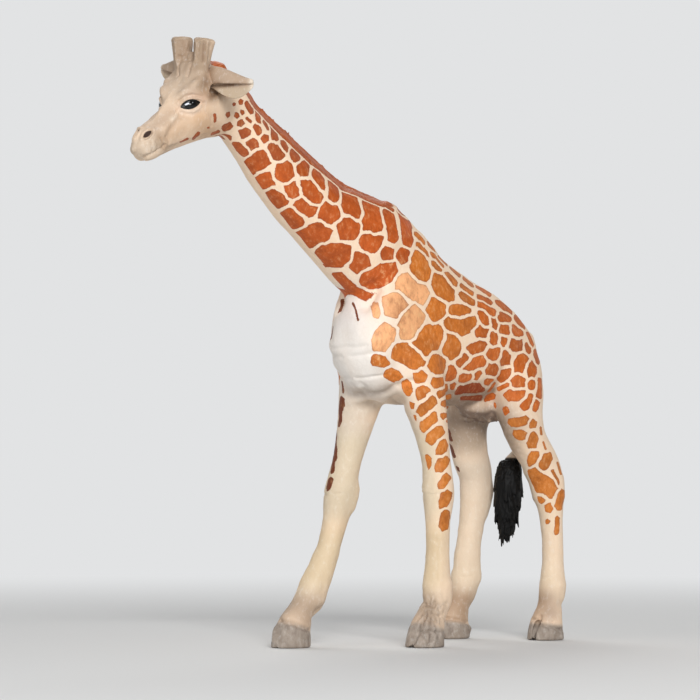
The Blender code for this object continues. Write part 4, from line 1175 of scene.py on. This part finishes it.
FACE_FINE_MARKS = (
    (4.2, 0.36, (186, 105.5), (194, 104.2)),
    (1.4, 0.38, (179.5, 106), (184, 100.2), (191, 98), (198, 98.2), (203.5, 100.4)),
    (1.4, -0.24, (179, 101), (186, 96), (194, 94.6), (203, 96.5)),
    (1.3, 0.20, (181, 109.0), (186, 111.4), (193, 111.8), (198, 109), (201, 105.0)),
    (1.2, -0.28, (180, 107), (176.5, 111), (174, 116)),
    (1.8, 0.34, (141.5, 140), (143, 134), (148.5, 129.6), (154, 129.8)),
    (1.6, 0.24, (154, 133), (150, 139), (144, 141.5)), (2.3, -0.85, (145.5, 136.6), (149.8, 132.6)),
    (1.3, -0.36, (135, 157), (145, 156.5), (153, 153.5), (160, 149), (165, 145)),
    (2.0, 0.30, (146, 159.5), (156, 156), (163, 151)), (1.0, -0.24, (156, 141), (158.5, 146), (157.5, 151)),
    (1.0, -0.22, (161, 138), (164, 144), (164, 149)), (1.0, -0.18, (151, 143), (153, 148), (152, 152)),
    (1.0, 0.16, (159, 139), (161.5, 145), (161, 150)), (1.0, -0.18, (166, 136), (169, 142), (168, 147)),
    (1.0, -0.16, (146, 146), (148, 151)), (2.0, -0.30, (168, 148.5), (180, 144.5), (192, 141), (204, 136)),
    (1.2, -0.2, (206, 112), (211, 118), (212, 126)), (1.4, -0.22, (204.5, 42), (203.5, 62)),
    (1.2, -0.14, (210.5, 43), (208.5, 62)), (1.1, -0.16, (199, 43), (197.5, 58)),
    (1.3, -0.20, (184.5, 41), (184.5, 60)), (1.1, -0.18, (179, 41), (180, 60)),
    (1.1, 0.22, (187.5, 42), (188, 58)), (1.1, 0.22, (207.5, 42), (206, 62)),
    (1.2, 0.24, (197, 44), (195, 60), (191, 68)), (2.2, 0.30, (196.5, 41), (204, 40), (213.5, 42.5)),
    (2.2, 0.10, (176, 41.5), (182, 38.5), (192, 39.5)), (1.5, -0.36, (193, 57), (190.5, 67), (187, 76)),
)
face.work(FACE_FORM_MARKS)
head_sheet.ease(2)
face = Skin(head_sheet)
face.work(FACE_FINE_MARKS)
head_sheet.ease(1)
face = Skin(head_sheet)

# Mouldings. The skin is parted where the real toy is glued: across the neck behind the cheeks and above the
# chest, round the top of each leg, and across the root of each horn stub. Every part is closed at its seams.
SEAM_MARGIN = 0.0009
HORN_REACH = 0.0045
LEG_TOP = 0.06
HORN_ROOTS = [root for root, way in HORNS.values()]
HORN_GAP = HORN_ROOTS[1] - HORN_ROOTS[0]
HORN_PARTING = (sum(HORN_ROOTS) / 2, HORN_GAP / np.linalg.norm(HORN_GAP))
LEG_SEAMS = {False: np.array((0, 0, SEAM_FRONT_LEG)), True: np.array((0, 0, SEAM_HIND_LEG))}
RAISED = np.array((0, 0, 1.0))


def by_horn(points, name):
    """Whether points are by one horn stub's shaft, on its side of the parting between the two."""
    root, way = HORNS[name]
    place, across = HORN_PARTING
    along = (points - root) @ way
    away = np.linalg.norm((points - root) - along[:, None] * way, axis=1)
    side = ((points - place) @ across) * np.sign((root - place) @ across)
    return (away < HORN_REACH) & (along > -HORN_REACH) & (side > 0)


def by_horns(points):
    """Whether points are by either horn stub."""
    return by_horn(points, "ossicone_left") | by_horn(points, "ossicone_right")


def anywhere(points):
    """Every point."""
    return np.ones(len(points), bool)


def seams_of(name):
    """The seam planes that bound a moulding: a place, the way out of it, where the plane cuts, and whether
    what lies beyond it is cleared away."""
    if name == "torso":
        cuts = [(NECK_FOOT, NECK_ALONG, anywhere, True)]
        for hind, place in LEG_SEAMS.items():
            cuts.append((place, -RAISED, lambda points, hind=hind: at_legs(points, hind), True))
        return cuts
    if name == "neck":
        return [(NECK_FOOT, -NECK_ALONG, anywhere, True), (HEAD_SEAM, NECK_ALONG, anywhere, True)]
    if name == "head":
        cuts = [(HEAD_SEAM, -NECK_ALONG, anywhere, True), (*HORN_PARTING, by_horns, False)]
        for key, (root, way) in HORNS.items():
            cuts.append((root, way, lambda points, key=key: by_horn(points, key), True))
        return cuts
    if name in HORNS:
        root, way = HORNS[name]
        place, across = HORN_PARTING
        outward = across * -np.sign((root - place) @ across)
        return [(root, -way, anywhere, True), (place, outward, anywhere, True)]
    return [(LEG_SEAMS["hind" in name], RAISED, anywhere, True)]


def belongs(points, name):
    """Whether points may belong to a moulding, before its seams are cut."""
    if name in HORNS:
        return by_horns(points)
    if name.startswith("leg"):
        side = -1 if name.endswith("left") else 1
        return at_leg(points, "hind" in name, side) & (points[:, 2] < LEG_TOP)
    return anywhere(points)


def moulding(name, sheet):
    """The closed mesh of one moulding, cut out of a sheet at its seams."""
    kept = belongs(sheet.points, name)
    for place, way, where, clears in seams_of(name):
        if clears:
            kept &= (beyond(sheet.points, place, way) < SEAM_MARGIN) | ~where(sheet.points)
    mesh = mesh_of(name + "_shell", *only(sheet.points, sheet.quads, kept))
    part = bmesh.new()
    part.from_mesh(mesh)
    for place, way, where, clears in seams_of(name):
        centres = np.array([f.calc_center_median() for f in part.faces])
        near = where(centres) & (abs(beyond(centres, place, way)) < 3 * SEAM_MARGIN)
        faces = [f for f, own in zip(part.faces, near) if own]
        corners = dict.fromkeys(v for f in faces for v in f.verts)
        sides = dict.fromkeys(e for f in faces for e in f.edges)
        geom = [*corners, *sides, *faces]
        cut = {"plane_co": Vector(place), "plane_no": Vector(way), "clear_outer": clears}
        bmesh.ops.bisect_plane(part, geom=geom, **cut)
    part.normal_update()
    outward = part.verts.layers.float_vector.new("outward")
    for v in part.verts:
        v[outward] = v.normal
    rims = [e for e in part.edges if e.is_boundary]
    for e in rims:
        e.smooth = False
    lids = bmesh.ops.holes_fill(part, edges=rims, sides=0)["faces"]
    bmesh.ops.triangulate(part, faces=lids)
    bmesh.ops.recalc_face_normals(part, faces=part.faces)
    part.to_mesh(mesh)
    part.free()
    return mesh


def set_values(mesh, values):
    """Gives the points of a mesh their numbers and colours, for the paint to read."""
    for name, value in values.items():
        if value.ndim == 2:
            full = np.column_stack([value, np.ones(len(value))]).astype(np.float32)
            mesh.attributes.new(name, "FLOAT_COLOR", "POINT").data.foreach_set("color", full.ravel())
        else:
            mesh.attributes.new(name, "FLOAT", "POINT").data.foreach_set("value", value.astype(np.float32))


def face_marks(name, spots):
    """How far inside the painted eye, nostril and eye's glints points of the face lie, in metres."""
    glints = [half - line_distance(spots, face.line(*pixels)) for half, *pixels in EYE_GLINTS]
    marks = {
        "eye": almond(spots, EYE_MIDDLE, EYE_SLANT, EYE_LENGTH, EYE_RISE, EYE_DROP),
        "nostril": almond(spots, NOSTRIL_MIDDLE, NOSTRIL_SLANT, NOSTRIL_LENGTH, NOSTRIL_HALF, NOSTRIL_HALF),
        "glint": np.max(glints, axis=0),
    }
    if name not in ("head", *HORNS):
        return {key: np.full(len(spots), -FAR * PIXEL) for key in marks}
    return {key: np.clip(value, -FAR, FAR) * PIXEL for key, value in marks.items()}


def paint_moulding(name, mesh):
    """Lays the coats and patches on a moulding as values of its points."""
    points = rows_of(mesh.vertices, "co", 3)
    normals = rows_of(mesh.attributes["outward"].data, "vector", 3)
    mesh.attributes.remove(mesh.attributes["outward"])
    level = points[:, 2]
    spots = pictured(fold_left(points))
    coat = sprayed_and_shaded(spots, np.tile(CREAM, (len(points), 1)), BODY_SPRAYS_AND_SHADE, toy)
    if name in ("neck", "head", *HORNS):
        coat = sprayed_and_shaded(spots, coat, FACE_SPRAYS_SHADE_AND_HIGHLIGHT, face)
    hoof = np.zeros(len(points))
    if name in HOOVES:
        middle, top, slope = HOOVES[name]
        hoof = 1 - ramp(level - top + slope * (points[:, 0] - middle), *HOOF_EDGE)
    coat = covered(coat, hoof, HOOF_PAINT)
    # Painted shade on the skin under the belly that turns down.
    under = ramp(-normals[:, 2], *UNDER_TURN) * ramp(level, *UNDER_FOOT) * (1 - ramp(level, *UNDER_TOP))
    under *= UNDER_STRENGTH * ramp(points[:, 0], *UNDER_START)
    coat = covered(coat, under, UNDER_SHADE_PAINT)
    inside, tones, mane = patched(points, normals)
    if name in HORNS:
        inside, mane = np.full((2, len(points)), -FAR * PIXEL)
    # Painted highlight on the ridges of the wrinkles, strongest on the shoulder.
    ridge_highlight = fade(line_distance(spots, toy.line(*SHOULDER_HIGHLIGHT_LINE)), SHOULDER_HIGHLIGHT_REACH)
    set_values(mesh, {
        **face_marks(name, spots),
        "patch": inside,
        "mane": mane,
        "hoof": np.maximum(hoof, ruggedness(points, spots) * (level < RUGGED_TOP)),
        "ridge_highlight": RIDGE_HIGHLIGHT_LEAST + (RIDGE_HIGHLIGHT_MOST - RIDGE_HIGHLIGHT_LEAST) * ridge_highlight,
        "patch_tone": tones,
        "coat": coat,
    })


def add_piece(name, mesh, finish, node):
    """Puts a finished mesh in the scene as the looks of one CAD node."""
    mesh.polygons.foreach_set("use_smooth", np.ones(len(mesh.polygons), bool))
    mesh.materials.clear()
    mesh.materials.append(finish)
    piece = bpy.data.objects.new(name, mesh)
    bpy.context.scene.collection.objects.link(piece)
    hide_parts(node)
    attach(piece, "root")


for sheet, finish, slot, nodes in (
    (skin, BODY_FINISH, "pvc_patched", ("torso", "neck")),
    (head_sheet, FACE_FINISH, "pvc_face", ("head", "ossicone_left", "ossicone_right")),
    (skin, LEG_FINISH, "pvc_leg", ("leg_front_left", "leg_front_right", "leg_hind_left", "leg_hind_right")),
):
    for node in nodes:
        mesh = moulding(node, sheet)
        paint_moulding(node, mesh)
        add_piece(node + "_skin", mesh, finish, node)

# Ears. Each is a thin leaf moulded by itself and pegged into the head. Its upper half curls forward over a
# deep fold, and its lower half opens below it.
EAR_STATION_SHARES = (-0.14, 0.0, 0.12, 0.26, 0.42, 0.58, 0.72, 0.84, 0.93, 0.98, 1.0)
EAR_UP = (0.0042, 0.0042, 0.0041, 0.0038, 0.0032, 0.0025, 0.0019, 0.0014, 0.0012, 0.0010, 0.0008)
EAR_DOWN = (0.0004, 0.0007, 0.0012, 0.0021, 0.0029, 0.0033, 0.0030, 0.0023, 0.0015, 0.0010, 0.0006)
EAR_CURL = (0.0005, 0.0008, 0.0011, 0.0012, 0.0012, 0.0010, 0.0008, 0.0006, 0.0005, 0.0004, 0.0003)
EAR_SECTION = (
    (1.15, 0.0), (1.32, 0.26), (1.10, 0.66), (0.48, 0.97), (-0.35, 0.92), (-0.85, 0.50), (-0.90, -0.05),
    (-0.70, -0.45), (-0.15, -0.85), (0.55, -1.00), (0.80, -0.94), (0.62, -0.66), (0.42, -0.36),
    (0.22, -0.08), (0.18, 0.06), (0.40, 0.16), (0.74, 0.14), (0.98, 0.02),
)
# Root and tip of each ear, and how far its lower half opens: the right one is folded closer.
EAR_ENDS = {
    "ear_left": ((-0.0466, -0.0054, 0.1194), (-0.0423, -0.0141, 0.1190), 1.0),
    "ear_right": ((-0.0465, 0.0033, 0.1222), (-0.0464, 0.0104, 0.1247), 0.62),
}
EAR_PAINT = paint(180, 156, 134)
EAR_TIP_PAINT = paint(222, 208, 190)
EAR_FOLD_SHADE = paint(118, 90, 68)
EAR_INNER_PAINT = paint(186, 166, 142)
EAR_ROOT_PAINT = paint(176, 150, 126)
EAR_SINK = 0.0011
EAR_FRONT = np.array((-1.0, 0.0, -0.05))
EAR_ROUNDING = 2


def ear_leaf(name):
    """The finished mesh of one ear, skinned over its stations and painted."""
    root, tip, open_share = EAR_ENDS[name]
    root, out = np.array(root), np.array(tip) - root
    length = np.linalg.norm(out)
    out /= length
    front = EAR_FRONT - (EAR_FRONT @ out) * out
    front /= np.linalg.norm(front)
    up = np.cross(out, front)
    up *= np.sign(up[2])
    leaf = bmesh.new()
    rings = []
    for share, high, low, curl in zip(EAR_STATION_SHARES, EAR_UP, EAR_DOWN, EAR_CURL):
        middle = root + out * share * length - front * EAR_SINK * max(1 - share, 0) ** 3
        low = low * open_share
        places = [middle + front * n * curl + up * u * (high if u > 0 else low) for n, u in EAR_SECTION]
        rings.append([leaf.verts.new(place) for place in places])
    for near, far in zip(rings, rings[1:]):
        for k in range(len(near)):
            leaf.faces.new((near[k - 1], near[k], far[k], far[k - 1]))
    leaf.faces.new(rings[0])
    leaf.faces.new(rings[-1])
    bmesh.ops.recalc_face_normals(leaf, faces=leaf.faces)
    cage = bpy.data.meshes.new(name + "_cage")
    leaf.to_mesh(cage)
    leaf.free()
    mesh = changed(cage, "SUBSURF", {"levels": EAR_ROUNDING, "render_levels": EAR_ROUNDING}, {})
    points = rows_of(mesh.vertices, "co", 3) - root
    along, ahead, above = points @ out / length, points @ front, points @ up
    fold = fade(above + 0.0001, 0.0005) * (1 - ramp(ahead, 0.0008, 0.0012)) * ramp(ahead, -0.0006, 0.0001)
    coat = np.tile(EAR_PAINT, (len(points), 1))
    for share, colour in (
        (ramp(-above, 0.0002, 0.0012) * ramp(ahead, -0.0007, 0.0002), EAR_INNER_PAINT),
        # Painted shade in the fold under the upper half.
        (fold * (1 - ramp(along, 0.45, 0.85)) * open_share, EAR_FOLD_SHADE),
        (ramp(along, 0.84, 1.0), EAR_TIP_PAINT),
        ((1 - ramp(along, 0.0, 0.22)) * 0.8, EAR_ROOT_PAINT),
        # Painted shade at the root, below the fold.
        ((1 - ramp(along, -0.05, 0.26)) * (1 - ramp(above, -0.0008, 0.0004)) * 0.8, EAR_FOLD_SHADE),
    ):
        coat = covered(coat, share, colour)
    bare, none = np.full(len(points), -FAR * PIXEL), np.zeros(len(points))
    set_values(mesh, {
        "eye": bare, "nostril": bare, "glint": bare, "patch": bare, "mane": bare,
        "hoof": none, "ridge_highlight": none, "patch_tone": coat, "coat": coat,
    })
    return mesh


for name in EAR_ENDS:
    add_piece(name + "_leaf", ear_leaf(name), FACE_FINISH, name)

# Tail. A thin stalk hangs from the rump and ends in a black tuft of coarse hair, all one moulding. The
# strands of the tuft are cut as ridges that run down it and end in loose points.
TAIL_VOXEL = 0.00017
TAIL_BLACK = paint(5, 5, 5)
TAIL_STALK = paint(214, 200, 182)
TUFT_TOP = 0.0423
STRAND_LENGTH = 0.0036
STRAND_RADIUS = 0.00042
STRAND_DENSITY = 3.0e6
STRAND_CONE = {"Vertices": 7, "Side Segments": 4, "Radius Top": 0.00008}
STRAND_SWAY = ((-0.16, -0.16, -1.2), (0.16, 0.16, -1.0))
STRAND_OUTWARD = 0.05
STRAND_SIZES = (0.6, 1.15)
STRAND_SEED = 4
CORE_SHRINK = -0.0006


def strand_coat():
    """Strands set at random on a surface, each pointing down and a little outward."""
    tree, given, made = hair_tree("strand_coat", (("Top", "Float"),))
    strewn = add_node(tree, "GeometryNodeDistributePointsOnFaces", {
        "Mesh": given.outputs["Geometry"], "Density": STRAND_DENSITY, "Seed": given.outputs["Seed"],
    })
    place = add_node(tree, "GeometryNodeInputPosition", {})
    parts = add_node(tree, "ShaderNodeSeparateXYZ", {0: place.outputs[0]})
    values = {0: parts.outputs[2], 1: given.outputs["Top"]}
    high = add_node(tree, "FunctionNodeCompare", values, operation="GREATER_THAN")
    values = {"Geometry": strewn.outputs["Points"], "Selection": high.outputs[0]}
    low = add_node(tree, "GeometryNodeDeleteGeometry", values, domain="POINT")
    values = {0: strewn.outputs["Normal"], "Scale": STRAND_OUTWARD}
    outward = add_node(tree, "ShaderNodeVectorMath", values, operation="SCALE")
    plant_hair(tree, given, made, low.outputs[0], outward.outputs[0], STRAND_CONE, STRAND_SWAY, STRAND_SIZES)
    return tree


def tail_finish():
    """Cream paint on the stalk and black on the tuft, with painted highlights on the ridges of the strands.
    """
    coat = Coat("painted_tail")
    strands = coat.grain(2600.0, 3.0, (1.0, 1.0, 0.12))
    tuft = coat.read("tuft").rise(0.35, 0.65)
    # Painted highlight on the ridges of the strands, on the stalk and on the tuft.
    colour = coat.mix(tuft, coat.mix(strands.rise(0.35, 0.7) * 0.4, TAIL_STALK, CREAM), TAIL_BLACK)
    colour = coat.mix(tuft * strands.rise(0.55, 0.8) * 0.12, colour, paint(40, 41, 44))
    bump = coat.node("ShaderNodeBump", {"Height": strands, "Distance": 0.00012, "Strength": 0.8}, "Normal")
    return coat.finish({"Base Color": colour, "Roughness": 0.55, "Specular IOR Level": 0.2, "Normal": bump})


strands = grown(node_shell(["tail"], 0.0), strand_coat(), {
    "Length": STRAND_LENGTH, "Radius": STRAND_RADIUS, "Top": TUFT_TOP, "Seed": STRAND_SEED,
    "Paint": bpy.data.materials.new("tail_wax"),
})
tail_core = node_shell(["tail"], CORE_SHRINK)
tail_sheet = Sheet(*outer_only(*fused(joined([strands, tail_core]), TAIL_VOXEL)))
tail_sheet.ease(3)
tail_mesh = mesh_of("tail_hair", tail_sheet.points, tail_sheet.quads)
set_values(tail_mesh, {"tuft": 1 - ramp(tail_sheet.points[:, 2], TUFT_TOP - 0.001, TUFT_TOP + 0.0015)})
add_piece("tail_hair", tail_mesh, tail_finish(), "tail")

# Studio. A plain pale floor that sweeps up behind the toy, and soft lamps. Far from the toy the paper glows
# as evenly as the photograph's background.
FLOOR_HALF = 3.0
SWEEP_START = 0.55
SWEEP_HEIGHT = 1.3
SWEEP_STEPS = 24
FLOOR_PAINT = paint(226, 226, 225)
BACKDROP_PAINT = paint(226, 227, 228)
FLOOR_FADE = (0.12, 0.55)

floor_mesh = bpy.data.meshes.new("floor_sweep")
sweep = bmesh.new()
profile = [(-FLOOR_HALF, 0.0)] + [
    (SWEEP_START + SWEEP_HEIGHT * math.sin(a), SWEEP_HEIGHT * (1 - math.cos(a)))
    for a in (math.pi / 2 * k / SWEEP_STEPS for k in range(SWEEP_STEPS + 1))
]
rows = [[sweep.verts.new((x, y, z)) for y in (-FLOOR_HALF, FLOOR_HALF)] for x, z in profile]
for (a, b), (c, d) in zip(rows, rows[1:]):
    sweep.faces.new((a, c, d, b))
sweep.transform(Matrix.Rotation(math.pi / 2 - CAMERA_TURN, 4, "Z"))
sweep.normal_update()
sweep.to_mesh(floor_mesh)
sweep.free()
floor_mesh.polygons.foreach_set("use_smooth", np.ones(len(floor_mesh.polygons), bool))
floor = bpy.data.objects.new("floor_sweep", floor_mesh)
bpy.context.scene.collection.objects.link(floor)
floor_coat = Coat("floor_paper")
floor_coat.finish({"Base Color": (*FLOOR_PAINT, 1.0), "Roughness": 0.9})
seen = floor_coat.node("ShaderNodeLightPath", {}, "Is Camera Ray").most(
    floor_coat.node("ShaderNodeLightPath", {}, "Is Glossy Ray")
)
spot = floor_coat.node("ShaderNodeTexCoord", {}, "Object")
far_off = floor_coat.node("ShaderNodeVectorMath", {0: spot}, "Value", operation="LENGTH").rise(*FLOOR_FADE)
glow = floor_coat.node("ShaderNodeEmission", {"Color": (*BACKDROP_PAINT, 1.0), "Strength": 1.0})
blend = floor_coat.node("ShaderNodeMixShader", {"Fac": seen * far_off, 2: glow})
floor_coat.tree.links.new(floor_coat.shader.outputs[0], blend.socket.node.inputs[1])
floor_coat.tree.links.new(blend.socket, floor_coat.tree.nodes["Material Output"].inputs["Surface"])
floor_mesh.materials.append(floor_coat.material)


def soft_lamp(name, turn, pitch, distance, size, power):
    """A square soft box that looks at the toy, turned from the camera's side."""
    data = bpy.data.lights.new(name, "AREA")
    data.size = size
    data.energy = power
    lamp = bpy.data.objects.new(name, data)
    turn = CAMERA_TURN + math.radians(turn)
    pitch = math.radians(pitch)
    aim = Vector((0.0, 0.0, 0.07))
    lamp.location = aim + distance * Vector(
        (-math.sin(turn) * math.cos(pitch), -math.cos(turn) * math.cos(pitch), math.sin(pitch))
    )
    lamp.rotation_euler = (aim - lamp.location).to_track_quat("-Z", "Y").to_euler()
    bpy.context.scene.collection.objects.link(lamp)


soft_lamp("key_lamp", -12.0, 26.0, 0.9, 0.35, 6.1)
soft_lamp("fill_lamp", 50.0, 8.0, 1.0, 0.5, 2.1)
soft_lamp("top_lamp", 172.0, 50.0, 0.9, 0.5, 2.8)
world = bpy.data.worlds.new("studio")
world.use_nodes = True
tree = world.node_tree
lit = tree.nodes["Background"]
lit.inputs["Color"].default_value = (*paint(236, 238, 240), 1.0)
lit.inputs["Strength"].default_value = 0.22
backdrop = add_node(tree, "ShaderNodeBackground", {"Color": (*BACKDROP_PAINT, 1.0), "Strength": 1.0})
path = add_node(tree, "ShaderNodeLightPath", {})
either = add_node(tree, "ShaderNodeMixShader", {
    0: path.outputs["Is Camera Ray"], 1: lit.outputs[0], 2: backdrop.outputs[0],
})
tree.links.new(either.outputs[0], tree.nodes["World Output"].inputs["Surface"])
bpy.context.scene.world = world
bpy.context.scene.view_settings.view_transform = "Standard"
